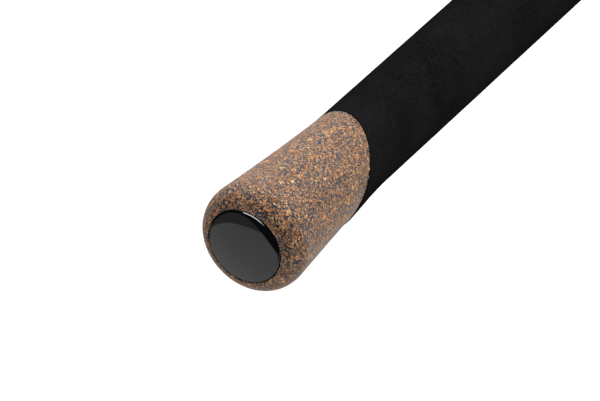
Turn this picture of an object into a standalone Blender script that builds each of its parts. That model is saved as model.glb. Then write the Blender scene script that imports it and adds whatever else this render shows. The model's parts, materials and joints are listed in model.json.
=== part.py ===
"""Two-piece waggler rod, ten feet long, with cork butt, foam grips, reel seat and guides.

The rod lies along +X. The origin is the crown of the badge in the butt end, the tip is at +X,
and the reel seat's bed and the guides hang on the -Z side.
"""

import math

import bmesh
import bpy
from mathutils import Matrix, Vector

MM = 0.001
GAP = 0.3 * MM  # clearance that neighbouring pieces keep
EDGE = 0.5 * MM  # chamfer on the ends of turned pieces
CUT_PAST = 2 * MM  # cutting bodies run this far out past what they cut
SHARP_ANGLE = math.radians(35)  # edges sharper than this stay crisp in the shading

# Carbon blank: radii at its rear end, at the end of the handle, at the joint and at the tip
BLANK_REAR_RADIUS = 6.0 * MM
HANDLE_TAPER_END = 550 * MM
BLANK_HANDLE_RADIUS = 5.25 * MM
BLANK_JOINT_RADIUS = 3.5 * MM
BLANK_TIP_RADIUS = 0.9 * MM
BLANK_REAR_WALL = 1.2 * MM
BLANK_JOINT_WALL = 0.8 * MM
BLANK_TIP_WALL = 0.5 * MM
BUTT_SECTION_END = 1524 * MM
TIP_SECTION_LENGTH = 1520 * MM
TIP_SOLID_LENGTH = 40 * MM  # the bore stops this far short of the tip
BLANK_SIDES = 16
BLANK_STEPS = 3

# Spigot joint between the sections
JOINT_OPEN = 6 * MM  # spigot left showing between the two blanks
SPIGOT_GLUED = 60 * MM
SPIGOT_FREE = 60 * MM
END_PLUG_LENGTH = 12 * MM

# Cork butt, turned with a swell and a rounded end, cut off on a slant where the foam begins
CORK_END = 0.9 * MM  # the badge's crown stands this far behind the cork
BADGE_RADIUS = 9.7 * MM
CORK_HOLE_RADIUS = BADGE_RADIUS + GAP
CORK_END_WALL = 4.25 * MM  # width of the cork round the badge
CORK_LIP = 0.3 * MM  # flat width at the badge, where the rounding starts
SWELL_RADIUS = CORK_HOLE_RADIUS + CORK_END_WALL
END_ROUNDING = 5.9 * MM
SWELL_LENGTH = 46.4 * MM
SWELL_POWER = 1.25
SLANT_X = 43.2 * MM  # where the slanted joint crosses the rod's axis
SLANT = math.radians(39)
HANDLE_SIDES = 32
ROUNDING_STEPS = 5
SWELL_STEPS = 5

# Badge in the butt end
BADGE_DISC_THICKNESS = 1.9 * MM
DOME_EDGE = 0.5 * MM
DOME_RISE = 1.4 * MM
DOME_POWER = 2.2
DOME_FLAT_RADIUS = 1.5 * MM
DOME_STEPS = 5

# Foam grips and their metal trim rings
GRIP_RADIUS = 11.25 * MM
REAR_GRIP_END = 300 * MM
TRIM_LENGTH = 3 * MM
TRIM_STEP = 0.25 * MM  # a trim ring is this much smaller than the grip beside it
FORE_GRIP_LENGTH = 76 * MM
FORE_GRIP_NOSE_WALL = 2.45 * MM
FORE_GRIP_NOSE_RADIUS = BLANK_HANDLE_RADIUS + FORE_GRIP_NOSE_WALL
FORE_GRIP_STEPS = 5
FORE_TRIM_LENGTH = 4 * MM

# Cross-sections of the reel seat, outwards from the blank
ARBOR_WALL = 0.8 * MM  # packing between blank and seat, where the blank is thickest
SEAT_BORE_RADIUS = BLANK_REAR_RADIUS + GAP + ARBOR_WALL + GAP
SEAT_WALL = 2.4 * MM
BARREL_RADIUS = SEAT_BORE_RADIUS + SEAT_WALL
BED_WALL = 1.0 * MM
BED_DEPTH = SEAT_BORE_RADIUS + BED_WALL  # the flat bed lies this far below the rod's axis
HOOD_FIT = 0.3 * MM  # running clearance of the moving hood on the barrel
HOOD_SIDE_WALL = 0.8 * MM
HOOD_HALF_WIDTH = BARREL_RADIUS + HOOD_FIT + HOOD_SIDE_WALL
COLLAR_STEP = 0.7 * MM  # the collars stand this far out past the hoods' sides
SEAT_COLLAR_RADIUS = HOOD_HALF_WIDTH + COLLAR_STEP
STOP_RING_STEP = 1.5 * MM
STOP_RING_RADIUS = BARREL_RADIUS + STOP_RING_STEP
SEAT_SIDES = 32
RING_SIDES = 28

# Screw thread on the barrel and in the lock nut
THREAD_PITCH = 3.5 * MM
THREAD_DEPTH = 0.9 * MM
THREAD_ROOT_WIDTH = 2.0 * MM
THREAD_CREST_WIDTH = 1.2 * MM
THREAD_FIT = 0.4 * MM  # radial play between nut and barrel
THREAD_SINK = 0.4 * MM  # how deep a ridge is rooted in its wall
THREAD_STEPS = 16  # per turn

# Reel-foot hoods, x measured from root to mouth
HOOD_LENGTH = 19 * MM
POCKET_DEPTH = 15.2 * MM
POCKET_HALF_WIDTH = 7.6 * MM
POCKET_BLIND_HEIGHT = 4.4 * MM
POCKET_MOUTH_HEIGHT = 5.2 * MM
POCKET_POWER = 4.0
HOOD_WALL = 1.0 * MM  # under the pocket at its mouth
HOOD_ROOT_WALL = 0.2 * MM  # past the pocket's level at the root, where the collar carries it
HOOD_TOP = -1.0 * MM
HOOD_ROOT_BOTTOM = -(BED_DEPTH + POCKET_BLIND_HEIGHT + HOOD_ROOT_WALL)
HOOD_MOUTH_BOTTOM = -(BED_DEPTH + POCKET_MOUTH_HEIGHT + HOOD_WALL)
HOOD_POWER = 3.0
HOOD_STEPS = 12
HOOD_STATIONS = 4
MOUTH_CUT_DROP = 0.4 * MM  # the mouth slants back from this far below the bed
MOUTH_CUT_BACK = 10 * MM
SHELL_THICKNESS = 0.6 * MM
SHELL_TOP = -5.0 * MM
HOOD_RING_LENGTH = 8 * MM

# Neck on the moving hood, which the lock nut snaps over, x from the nut's rear face
NECK_WALL = 1.0 * MM
BEAD_START = 3.5 * MM
BEAD_LENGTH = 1.2 * MM
BEAD_HEIGHT = 0.6 * MM
NECK_TAIL = 0.9 * MM
NECK_END = BEAD_START + BEAD_LENGTH + NECK_TAIL

# Lock nut, x measured from its rear face
NUT_LENGTH = 16 * MM
NUT_WALL = 1.4 * MM  # over the groove for the neck's bead
NUT_RADIUS = BARREL_RADIUS + HOOD_FIT + NECK_WALL + BEAD_HEIGHT + GAP + NUT_WALL
NUT_FLUTES = 12
NUT_FLUTE_DEPTH = 0.5 * MM
NUT_RING_LENGTH = 3.0 * MM
NUT_RING_WALL = 1.0 * MM
NUT_LIP = 0.1 * MM  # the nut stands this far out of its ring
NUT_SHOULDER_X = NUT_LENGTH - NUT_LIP - NUT_RING_LENGTH - GAP
NUT_SHOULDER_WALL = 2.0 * MM
NUT_SHOULDER_RADIUS = BARREL_RADIUS + THREAD_FIT + NUT_SHOULDER_WALL

# Places along the seat, x measured from its rear end
SEAT_COLLAR_LENGTH = 8 * MM
HOOD_ROOT_SUNK = 2 * MM  # the fixed hood's root runs this far into the collar
FIXED_HOOD_ROOT_X = SEAT_COLLAR_LENGTH - HOOD_ROOT_SUNK
MOUTH_SPACING = 34 * MM  # between the hoods' mouths, with the nut half-way along its thread
MOVING_HOOD_MOUTH_X = FIXED_HOOD_ROOT_X + HOOD_LENGTH + MOUTH_SPACING
HOOD_TRAVEL = 7 * MM  # to either side of that place
NUT_REAR_X = MOVING_HOOD_MOUTH_X + HOOD_LENGTH + GAP
NUT_FRONT_LIMIT = NUT_REAR_X + NUT_LENGTH + HOOD_TRAVEL
THREAD_START = NUT_REAR_X - HOOD_TRAVEL + NECK_END + GAP - THREAD_PITCH
THREAD_OVERRUN = 0.7 * MM  # thread left in front of the nut at its front limit
THREAD_END = NUT_FRONT_LIMIT + THREAD_OVERRUN
STOP_RING_PLAY = 3.2 * MM
STOP_RING_X = NUT_FRONT_LIMIT + STOP_RING_PLAY
STOP_RING_LENGTH = 6 * MM
SEAT_FRONT_LAND = 1.5 * MM
SEAT_LENGTH = STOP_RING_X + STOP_RING_LENGTH + SEAT_FRONT_LAND
ARBOR_LENGTH = 30 * MM
ARBOR_INSET = 10 * MM  # from the seat's ends
ARBOR_REAR_X = ARBOR_INSET
ARBOR_FRONT_X = SEAT_LENGTH - ARBOR_INSET - ARBOR_LENGTH

# Hook keeper on the blank in front of the fore grip
KEEPER_AHEAD = 21 * MM  # of the trim ring
KEEPER_EYE_BORE = 0.8 * MM
KEEPER_EYE_WALL = 0.55 * MM
KEEPER_EYE_WIDTH = 1.6 * MM
KEEPER_RING_RADIUS = 4.5 * MM
KEEPER_WIRE_RADIUS = 0.4 * MM
KEEPER_FOOT_LENGTH = 14 * MM
KEEPER_RING_STEPS = 18
KEEPER_WIRE_SIDES = 6

# Guides. Each row: name, place, ring diameter, clear height over the blank, foot length, feet
BUTT_GUIDES = (  # place as a share of the way from the hook keeper to the joint
    ("guide_1", 0.46, 16 * MM, 14 * MM, 16 * MM, 2),
    ("guide_2", 0.817, 12 * MM, 10.5 * MM, 14 * MM, 1),
)
TIP_GUIDES = (  # place as a share of the way from the tip back to the joint
    ("guide_3", 0.94, 10 * MM, 8.0 * MM, 12 * MM, 1),
    ("guide_4", 0.766, 8 * MM, 6.5 * MM, 11 * MM, 1),
    ("guide_5", 0.605, 8 * MM, 6.0 * MM, 11 * MM, 1),
    ("guide_6", 0.457, 7 * MM, 5.5 * MM, 10 * MM, 1),
    ("guide_7", 0.326, 6 * MM, 4.8 * MM, 10 * MM, 1),
    ("guide_8", 0.207, 6 * MM, 4.5 * MM, 9 * MM, 1),
    ("guide_9", 0.099, 5.5 * MM, 4.2 * MM, 9 * MM, 1),
)
HEAVY_RING = 11 * MM  # rings over this diameter have the heavier frame
HEAVY_RIM_SIDES = 20
LIGHT_RIM_SIDES = 16
HEAVY_RIM = 0.9 * MM
LIGHT_RIM = 0.5 * MM
HEAVY_INSERT_WALL = 1.0 * MM
LIGHT_INSERT_WALL = 0.6 * MM
HEAVY_FOOT = 0.8 * MM
LIGHT_FOOT = 0.5 * MM
HEAVY_FOOT_HALF_WIDTH = 1.3 * MM
LIGHT_FOOT_HALF_WIDTH = 0.8 * MM
HEAVY_RIM_WIDTH = 2.0 * MM
LIGHT_RIM_WIDTH = 1.3 * MM
INSERT_INSET = 0.1 * MM
LEG_REACH = 0.6  # of the clear height, from the ring back to the foot
LEG_ANGLE = math.radians(50)
LEG_SPREAD = 0.25 * MM
FOOT_BARE = 2.5 * MM  # bare length of foot between the legs and the whipping
LEG_WIDTH_SHARE = 0.8  # of the rim's thickness, half the leg's width
LEG_THICKNESS_SHARE = 0.37
LEG_ROOT_SHARE = 0.4  # how deep a leg is rooted in the rim
LEG_SUNK_SHARE = 0.55  # how deep a leg is sunk in the foot
KNEE_SHARE = 0.45  # of the way down the leg
KNEE_OUT = 1.12
WHIPPING_WALL = 0.45 * MM
WHIPPING_TAIL = 3 * MM  # whipping that runs on past the foot's end
WHIPPING_SIDES = 16
SLOT_CLOSING = math.radians(3)  # turn over which a whipping leaves the foot for the blank
SHOULDER_SPREAD = math.radians(14)
FERRULE_WHIPPING_LENGTH = 24 * MM

# Tip guide
TIP_RING_DIAMETER = 5.5 * MM
TIP_TUBE_LENGTH = 11 * MM
TIP_TUBE_WALL = 0.4 * MM
TIP_NOSE_LENGTH = 2.0 * MM
TIP_NOSE_RADIUS = 0.45 * MM
TIP_NOSE_WELD = 0.15 * MM
TIP_BRACE_X = -7.5 * MM
TIP_BRACE_ANGLE = math.radians(75)
TIP_BRACE_FOOT_ANGLE = math.radians(50)
TIP_BRACE_HALF_DEPTH = 0.25 * MM
TIP_BRACE_HALF_WIDTH = 0.2 * MM
TIP_WHIPPING_LENGTH = 8 * MM

# Colour, roughness and metallic value of each finish
FINISHES = {
    "rubber_cork": ((0.28, 0.15, 0.09, 1.0), 0.85, 0.0),
    "eva_foam": ((0.012, 0.012, 0.013, 1.0), 0.95, 0.0),
    "gloss_resin": ((0.01, 0.01, 0.011, 1.0), 0.06, 0.0),
    "matte_plastic": ((0.02, 0.02, 0.021, 1.0), 0.5, 0.0),
    "carbon_gloss": ((0.014, 0.014, 0.016, 1.0), 0.2, 0.0),
    "black_metal": ((0.05, 0.05, 0.055, 1.0), 0.3, 1.0),
    "gunmetal": ((0.22, 0.22, 0.235, 1.0), 0.3, 1.0),
    "ceramic": ((0.09, 0.09, 0.095, 1.0), 0.15, 0.0),
    "packing": ((0.45, 0.38, 0.28, 1.0), 0.9, 0.0),
    "thread_wrap": ((0.012, 0.012, 0.014, 1.0), 0.12, 0.0),
}


def clear_scene():
    for item in list(bpy.data.objects):
        bpy.data.objects.remove(item, do_unlink=True)


def skin(name, loops, closed=True):
    """Closed mesh over a row of equal loops, which ends in caps or meets its own start."""
    bm = bmesh.new()
    rows = [[bm.verts.new(point) for point in loop] for loop in loops]
    pairs = list(zip(rows, rows[1:]))
    if closed:
        pairs.append((rows[-1], rows[0]))
    else:
        bm.faces.new(rows[0])
        bm.faces.new(rows[-1])
    for near, far in pairs:
        for index in range(len(near)):
            after = (index + 1) % len(near)
            bm.faces.new((near[index], near[after], far[after], far[index]))
    bmesh.ops.recalc_face_normals(bm, faces=bm.faces)
    if bm.calc_volume(signed=True) < 0:
        bmesh.ops.reverse_faces(bm, faces=bm.faces)
    mesh = bpy.data.meshes.new(name)
    bm.to_mesh(mesh)
    bm.free()
    return mesh


def circle(x, radius, sides):
    turns = [2 * math.pi * index / sides for index in range(sides)]
    return [Vector((x, radius * math.cos(a), radius * math.sin(a))) for a in turns]


def turned(name, profile, sides, closed=True):
    """Lathe-turned piece from (x, radius) pairs: a ring round its bore, or a solid bar."""
    return skin(name, [circle(x, radius, sides) for x, radius in profile], closed)


def tube_profile(start, end, outer, bore, edge=EDGE):
    """Plain sleeve with chamfered outer ends."""
    return [
        (start, outer - edge),
        (start + edge, outer),
        (end - edge, outer),
        (end, outer - edge),
        (end, bore),
        (start, bore),
    ]


def box(name, low, high):
    loops = []
    for x in (low[0], high[0]):
        loops.append(
            [
                Vector((x, low[1], low[2])),
                Vector((x, high[1], low[2])),
                Vector((x, high[1], high[2])),
                Vector((x, low[1], high[2])),
            ]
        )
    return skin(name, loops, closed=False)


def prism(name, outline, half_width):
    """Outline of (x, z) pairs extruded to both sides of the XZ plane."""
    loops = [[Vector((x, y, z)) for x, z in outline] for y in (-half_width, half_width)]
    return skin(name, loops, closed=False)


def bar(name, points, half_along, half_across):
    """Straight-sided bar of rectangular section through the points."""
    run = (points[-1] - points[0]).normalized()
    across = run.cross(Vector((1, 0, 0))).normalized()
    along = across.cross(run)
    loops = []
    for point in points:
        corners = ((1, 1), (-1, 1), (-1, -1), (1, -1))
        loops.append([point + along * half_along * a + across * half_across * b for a, b in corners])
    return skin(name, loops, closed=False)


def combined(operation, base, *others):
    """Join, cut or intersect closed meshes and give back the result as one mesh."""
    body = bpy.data.objects.new("working_body", base)
    bpy.context.scene.collection.objects.link(body)
    helpers = []
    for other in others:
        helper = bpy.data.objects.new("working_tool", other)
        bpy.context.scene.collection.objects.link(helper)
        step = body.modifiers.new("step", "BOOLEAN")
        step.operation = operation
        step.solver = "EXACT"
        step.object = helper
        helpers.append(helper)
    depsgraph = bpy.context.evaluated_depsgraph_get()
    result = bpy.data.meshes.new_from_object(body.evaluated_get(depsgraph))
    for item in [body] + helpers:
        bpy.data.objects.remove(item, do_unlink=True)
    return result


def moved(mesh, x=0.0, y=0.0, z=0.0):
    mesh.transform(Matrix.Translation((x, y, z)))
    return mesh


def turned_back(mesh):
    """The same mesh mirrored in x about its own origin."""
    mesh.transform(Matrix.Diagonal((-1, 1, 1, 1)))
    mesh.flip_normals()
    return mesh


def finish_material(name, finish):
    colour, roughness, metallic = FINISHES[finish]
    material = bpy.data.materials.new(name)
    material.use_nodes = True
    shader = material.node_tree.nodes["Principled BSDF"]
    shader.inputs["Base Color"].default_value = colour
    shader.inputs["Roughness"].default_value = roughness
    shader.inputs["Metallic"].default_value = metallic
    material.diffuse_color = colour
    return material


def place(name, mesh, finish, parent, x=0.0, z=0.0):
    """Put a finished mesh in the scene as the named sub-part."""
    mesh.name = name
    mesh.materials.clear()
    mesh.materials.append(finish_material(name, finish))
    mesh.shade_smooth()
    mesh.set_sharp_from_angle(angle=SHARP_ANGLE)
    piece = bpy.data.objects.new(name, mesh)
    bpy.context.scene.collection.objects.link(piece)
    piece.parent = parent
    piece.location = (x, 0.0, z)
    return piece


def axis_empty(name, parent=None, x=0.0, z=0.0):
    empty = bpy.data.objects.new(name, None)
    empty.empty_display_size = SWELL_RADIUS
    bpy.context.scene.collection.objects.link(empty)
    empty.parent = parent
    empty.location = (x, 0.0, z)
    return empty


def between(value, low, high):
    return low + (high - low) * value


# Places along the rod that follow from the sizes
BADGE_DISC_X = DOME_RISE + DOME_EDGE + GAP
BLANK_START = BADGE_DISC_X + BADGE_DISC_THICKNESS + GAP
TIP_SECTION_START = BUTT_SECTION_END + JOINT_OPEN
ROD_TIP = TIP_SECTION_START + TIP_SECTION_LENGTH
SEAT_X = REAR_GRIP_END + GAP + TRIM_LENGTH + GAP
FORE_GRIP_X = SEAT_X + SEAT_LENGTH + GAP
FORE_TRIM_X = FORE_GRIP_X + FORE_GRIP_LENGTH + GAP
MOVING_HOOD_X = SEAT_X + MOVING_HOOD_MOUTH_X
LOCK_NUT_X = SEAT_X + NUT_REAR_X
KEEPER_X = FORE_TRIM_X + FORE_TRIM_LENGTH + KEEPER_AHEAD


def blank_radius(x):
    """Outer radius of the blank at a distance from the butt end."""
    if x <= HANDLE_TAPER_END:
        return between(x / HANDLE_TAPER_END, BLANK_REAR_RADIUS, BLANK_HANDLE_RADIUS)
    if x <= BUTT_SECTION_END:
        run = (x - HANDLE_TAPER_END) / (BUTT_SECTION_END - HANDLE_TAPER_END)
        return between(run, BLANK_HANDLE_RADIUS, BLANK_JOINT_RADIUS)
    run = max(0.0, (x - TIP_SECTION_START) / TIP_SECTION_LENGTH)
    return between(run, BLANK_JOINT_RADIUS, BLANK_TIP_RADIUS)


def blank_bore(x):
    """Radius of the hole in the blank at a distance from the butt end."""
    if x <= BUTT_SECTION_END:
        wall = between(x / BUTT_SECTION_END, BLANK_REAR_WALL, BLANK_JOINT_WALL)
    else:
        run = max(0.0, (x - TIP_SECTION_START) / TIP_SECTION_LENGTH)
        wall = between(run, BLANK_JOINT_WALL, BLANK_TIP_WALL)
    return blank_radius(x) - wall


def handle_radius(x):
    """Outer radius of the turned cork and foam handle at a distance from the butt end."""
    swell_x = CORK_END + END_ROUNDING
    if x <= swell_x:
        reach = (swell_x - x) / END_ROUNDING
        start = CORK_HOLE_RADIUS + CORK_LIP
        return start + (SWELL_RADIUS - start) * math.sqrt(max(0.0, 1 - reach * reach))
    left = max(0.0, 1 - (x - swell_x) / SWELL_LENGTH)
    return GRIP_RADIUS + (SWELL_RADIUS - GRIP_RADIUS) * left**SWELL_POWER


def slanted_block(towards_tip):
    """Block that ends on the slanted joint of cork and foam, half a gap past it."""
    reach = 4 * SWELL_RADIUS
    start, end = (0.0, reach) if towards_tip else (-reach, 0.0)
    block = box("slanted_block", (start, -reach, -reach), (end, reach, reach))
    shift = -GAP / 2 if towards_tip else GAP / 2
    place_block = Matrix.Translation((SLANT_X, 0, 0))
    turn = Matrix.Rotation(SLANT, 4, "Y")
    block.transform(place_block @ turn @ Matrix.Translation((shift, 0, 0)))
    return block


def slant_reach():
    """How far the slanted joint leans to either side of where it crosses the axis."""
    return math.tan(SLANT) * SWELL_RADIUS + CUT_PAST


def cork_butt():
    bore = blank_radius(BLANK_START) + GAP
    outline = [(CORK_END, CORK_HOLE_RADIUS)]
    for step in range(ROUNDING_STEPS + 1):
        turn = math.pi / 2 * step / ROUNDING_STEPS
        x = CORK_END + END_ROUNDING * (1 - math.cos(turn))
        outline.append((x, handle_radius(x)))
    start = CORK_END + END_ROUNDING
    end = SLANT_X + slant_reach()
    for step in range(1, SWELL_STEPS + 1):
        x = between(step / SWELL_STEPS, start, end)
        outline.append((x, handle_radius(x)))
    outline += [(end, bore), (BLANK_START, bore), (BLANK_START, CORK_HOLE_RADIUS)]
    whole = turned("cork", outline, HANDLE_SIDES)
    return combined("DIFFERENCE", whole, slanted_block(towards_tip=True))


def rear_grip():
    bore = blank_radius(BLANK_START) + GAP
    start = SLANT_X - slant_reach()
    swell_end = max(CORK_END + END_ROUNDING + SWELL_LENGTH, SLANT_X + slant_reach())
    outline = []
    for step in range(SWELL_STEPS + 1):
        x = between(step / SWELL_STEPS, start, swell_end)
        outline.append((x, handle_radius(x)))
    outline += [(REAR_GRIP_END - 2 * EDGE, GRIP_RADIUS), (REAR_GRIP_END, GRIP_RADIUS - 2 * EDGE)]
    outline += [(REAR_GRIP_END, bore), (start, bore)]
    whole = turned("grip", outline, HANDLE_SIDES)
    return combined("DIFFERENCE", whole, slanted_block(towards_tip=False))


def badge_dome():
    """Resin dome with a small level crown, local x from crown to base."""
    outline = []
    for step in range(DOME_STEPS + 1):
        reach = between(step / DOME_STEPS, DOME_FLAT_RADIUS / BADGE_RADIUS, 1.0)
        sag = 1 - max(0.0, 1 - reach**DOME_POWER) ** (1 / DOME_POWER)
        depth = DOME_RISE * sag if step else 0.0
        outline.append((depth, BADGE_RADIUS * reach))
    outline.append((DOME_RISE + DOME_EDGE, BADGE_RADIUS))
    return turned("dome", outline, HANDLE_SIDES, closed=False)


def badge_disc():
    outline = [(0, BADGE_RADIUS), (BADGE_DISC_THICKNESS, BADGE_RADIUS)]
    return turned("disc", outline, HANDLE_SIDES, closed=False)


def blank_tube(start, end, bore_end):
    """Tapered tube from start to end, bored through, or blind where the bore ends first."""
    stations = [between(step / BLANK_STEPS, start, end) for step in range(BLANK_STEPS + 1)]
    if start < HANDLE_TAPER_END:
        stations.append(HANDLE_TAPER_END)
    stations.sort()
    outer = [(x - start, blank_radius(x)) for x in stations]
    inner = [(x - start, blank_bore(x)) for x in reversed(stations) if x < bore_end]
    if bore_end < end:
        inner.insert(0, (bore_end - start, blank_bore(bore_end)))
        return turned("blank", list(reversed(inner + outer)), BLANK_SIDES, closed=False)
    inner.insert(0, (end - start, blank_bore(end)))
    return turned("blank", outer + inner, BLANK_SIDES)


def spigot():
    """Carbon spigot, a fit in both bores, local x from its glued end."""
    start = BUTT_SECTION_END - SPIGOT_GLUED
    stations = (start, BUTT_SECTION_END, TIP_SECTION_START, TIP_SECTION_START + SPIGOT_FREE)
    outline = [(x - start, blank_bore(x) - GAP) for x in stations]
    return turned("spigot", outline, BLANK_SIDES, closed=False)


def plain_whipping(x, length):
    """Thread whipping round the bare blank."""
    bore = blank_radius(x) + GAP
    profile = tube_profile(0, length, bore + WHIPPING_WALL, bore, WHIPPING_WALL / 2)
    return turned("whipping", profile, WHIPPING_SIDES)


def trim_ring(x, length, radius):
    return turned("ring", tube_profile(0, length, radius, blank_radius(x) + GAP), RING_SIDES)


def fore_grip():
    bore = blank_radius(FORE_GRIP_X) + GAP
    outline = [(0, GRIP_RADIUS - 2 * EDGE)]
    start = 2 * EDGE
    for step in range(FORE_GRIP_STEPS + 1):
        run = step / FORE_GRIP_STEPS
        fall = (1 - math.cos(math.pi * run)) / 2
        x = between(run, start, FORE_GRIP_LENGTH)
        outline.append((x, between(fall, GRIP_RADIUS, FORE_GRIP_NOSE_RADIUS)))
    outline += [(FORE_GRIP_LENGTH, bore), (0, bore)]
    return turned("grip", outline, SEAT_SIDES)


def hood_outline(x, half_width, top, bottom, power):
    """Level-topped cross-section that hangs below the barrel like a squared half ellipse."""
    points = []
    for step in range(HOOD_STEPS + 1):
        turn = math.pi * step / HOOD_STEPS
        cosine = math.cos(turn)
        y = half_width * math.copysign(abs(cosine) ** (2 / power), cosine)
        fall = max(0.0, math.sin(turn)) ** (2 / power)
        points.append(Vector((x, y, between(fall, top, bottom))))
    return points


def hood_bulge(top, offset, root=0.0, past=0.0):
    """Outer form of a hood, grown by an offset, from its root to its mouth or past it."""
    loops = []
    for step in range(HOOD_STATIONS):
        x = between(step / (HOOD_STATIONS - 1), root, HOOD_LENGTH + past)
        rise = math.sin(math.pi / 2 * min(1.0, max(0.0, x / HOOD_LENGTH)))
        bottom = between(rise, HOOD_ROOT_BOTTOM, HOOD_MOUTH_BOTTOM) - offset
        loops.append(hood_outline(x, HOOD_HALF_WIDTH + offset, top, bottom, HOOD_POWER))
    return skin("bulge", loops, closed=False)


def hood_pocket():
    """Space for the reel's foot, from the pocket's blind end out through the mouth."""
    blind = HOOD_LENGTH - POCKET_DEPTH
    slope = (POCKET_MOUTH_HEIGHT - POCKET_BLIND_HEIGHT) / POCKET_DEPTH
    loops = []
    for x in (blind, HOOD_LENGTH + CUT_PAST):
        height = POCKET_BLIND_HEIGHT + slope * (x - blind)
        bottom = -BED_DEPTH - height
        loops.append(hood_outline(x, POCKET_HALF_WIDTH, -BED_DEPTH, bottom, POCKET_POWER))
    return skin("pocket", loops, closed=False)


def mouth_cut():
    """Wedge that slants the sides of a hood's mouth back from its lip."""
    lip = -BED_DEPTH - MOUTH_CUT_DROP
    outline = [
        (HOOD_LENGTH + CUT_PAST, lip),
        (HOOD_LENGTH, lip),
        (HOOD_LENGTH - MOUTH_CUT_BACK, HOOD_TOP + CUT_PAST),
        (HOOD_LENGTH + CUT_PAST, HOOD_TOP + CUT_PAST),
    ]
    return prism("mouth_cut", outline, 2 * HOOD_HALF_WIDTH)


def hood_shell():
    """Thin metal skin over the outside of a hood, open above."""
    outer = hood_bulge(SHELL_TOP, GAP + SHELL_THICKNESS)
    inner = hood_bulge(SHELL_TOP + CUT_PAST, GAP, root=-CUT_PAST, past=CUT_PAST)
    return combined("DIFFERENCE", outer, inner, mouth_cut())


def turned_about(mesh):
    """The same hood mesh with its mouth at x = 0, towards the butt."""
    return moved(turned_back(mesh), HOOD_LENGTH)


def thread_ridge(radius_sunk, radius_crest, start, end, zero_x):
    """Right-handed helical ridge from start to end along x, its turn counted from zero_x."""
    steps = round(THREAD_STEPS * (end - start) / THREAD_PITCH)
    loops = []
    for step in range(steps + 1):
        middle = start + THREAD_PITCH * step / THREAD_STEPS
        turn = 2 * math.pi * (middle - zero_x) / THREAD_PITCH
        corners = (
            (middle - THREAD_ROOT_WIDTH / 2, radius_sunk),
            (middle - THREAD_CREST_WIDTH / 2, radius_crest),
            (middle + THREAD_CREST_WIDTH / 2, radius_crest),
            (middle + THREAD_ROOT_WIDTH / 2, radius_sunk),
        )
        loops.append([Vector((x, r * math.cos(turn), r * math.sin(turn))) for x, r in corners])
    return skin("ridge", loops, closed=False)


def reel_seat():
    """Moulded barrel with rear collar, fixed hood, level bed and thread."""
    root = BARREL_RADIUS - THREAD_DEPTH
    outline = [
        (0, SEAT_COLLAR_RADIUS - EDGE),
        (EDGE, SEAT_COLLAR_RADIUS),
        (SEAT_COLLAR_LENGTH - EDGE, SEAT_COLLAR_RADIUS),
        (SEAT_COLLAR_LENGTH, SEAT_COLLAR_RADIUS - EDGE),
        (SEAT_COLLAR_LENGTH, BARREL_RADIUS),
        (THREAD_START - EDGE, BARREL_RADIUS),
        (THREAD_START - EDGE + THREAD_DEPTH, root),
        (SEAT_LENGTH, root),
    ]
    barrel = turned("barrel", outline, SEAT_SIDES, closed=False)
    ridge = thread_ridge(
        root - THREAD_SINK,
        BARREL_RADIUS,
        THREAD_START + THREAD_ROOT_WIDTH,
        THREAD_END - THREAD_ROOT_WIDTH,
        THREAD_START,
    )
    barrel = combined("UNION", barrel, ridge)
    reach = 2 * SEAT_COLLAR_RADIUS
    bed_cut = box(
        "bed_cut",
        (SEAT_COLLAR_LENGTH, -reach, -reach),
        (THREAD_END + EDGE, reach, -BED_DEPTH),
    )
    barrel = combined("DIFFERENCE", barrel, bed_cut)
    hood = combined("DIFFERENCE", hood_bulge(HOOD_TOP, 0.0), mouth_cut())
    barrel = combined("UNION", barrel, moved(hood, FIXED_HOOD_ROOT_X))
    bore = turned("bore", [(-EDGE, SEAT_BORE_RADIUS), (SEAT_LENGTH + EDGE, SEAT_BORE_RADIUS)],
                  SEAT_SIDES, closed=False)
    pocket = moved(hood_pocket(), FIXED_HOOD_ROOT_X)
    return combined("DIFFERENCE", barrel, bore, pocket)


def moving_hood():
    """Sliding hood with its snap neck, local x from the mouth towards the nut."""
    bore_radius = BARREL_RADIUS + HOOD_FIT
    ring_start = HOOD_LENGTH - HOOD_RING_LENGTH
    neck_radius = bore_radius + NECK_WALL
    nut_face = HOOD_LENGTH + GAP
    bead_end = BEAD_START + BEAD_LENGTH
    outline = [
        (ring_start, SEAT_COLLAR_RADIUS - EDGE),
        (ring_start + EDGE, SEAT_COLLAR_RADIUS),
        (HOOD_LENGTH, SEAT_COLLAR_RADIUS),
        (HOOD_LENGTH, neck_radius),
        (nut_face + BEAD_START, neck_radius),
        (nut_face + BEAD_START, neck_radius + BEAD_HEIGHT),
        (nut_face + bead_end, neck_radius + BEAD_HEIGHT),
        (nut_face + bead_end, neck_radius),
        (nut_face + NECK_END, neck_radius),
    ]
    collar = turned("collar", outline, SEAT_SIDES, closed=False)
    hood = combined("DIFFERENCE", hood_bulge(HOOD_TOP, 0.0, root=EDGE), mouth_cut())
    body = combined("UNION", turned_about(hood), collar)
    bore = turned("bore", [(-EDGE, bore_radius), (2 * HOOD_LENGTH, bore_radius)],
                  SEAT_SIDES, closed=False)
    reach = 2 * SEAT_COLLAR_RADIUS
    above_key = box(
        "above_key",
        (-2 * EDGE, -reach, -BED_DEPTH - HOOD_FIT),
        (2 * HOOD_LENGTH + EDGE, reach, reach),
    )
    keyed_bore = combined("INTERSECT", bore, above_key)
    return combined("DIFFERENCE", body, keyed_bore, turned_about(hood_pocket()))


def fluted_circle(x, radius, depth):
    """Circle with shallow flutes, four points to a flute."""
    points = []
    for index in range(4 * NUT_FLUTES):
        turn = 2 * math.pi * index / (4 * NUT_FLUTES)
        r = radius - depth * (1 - math.cos(NUT_FLUTES * turn)) / 2
        points.append(Vector((x, r * math.cos(turn), r * math.sin(turn))))
    return points


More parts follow.
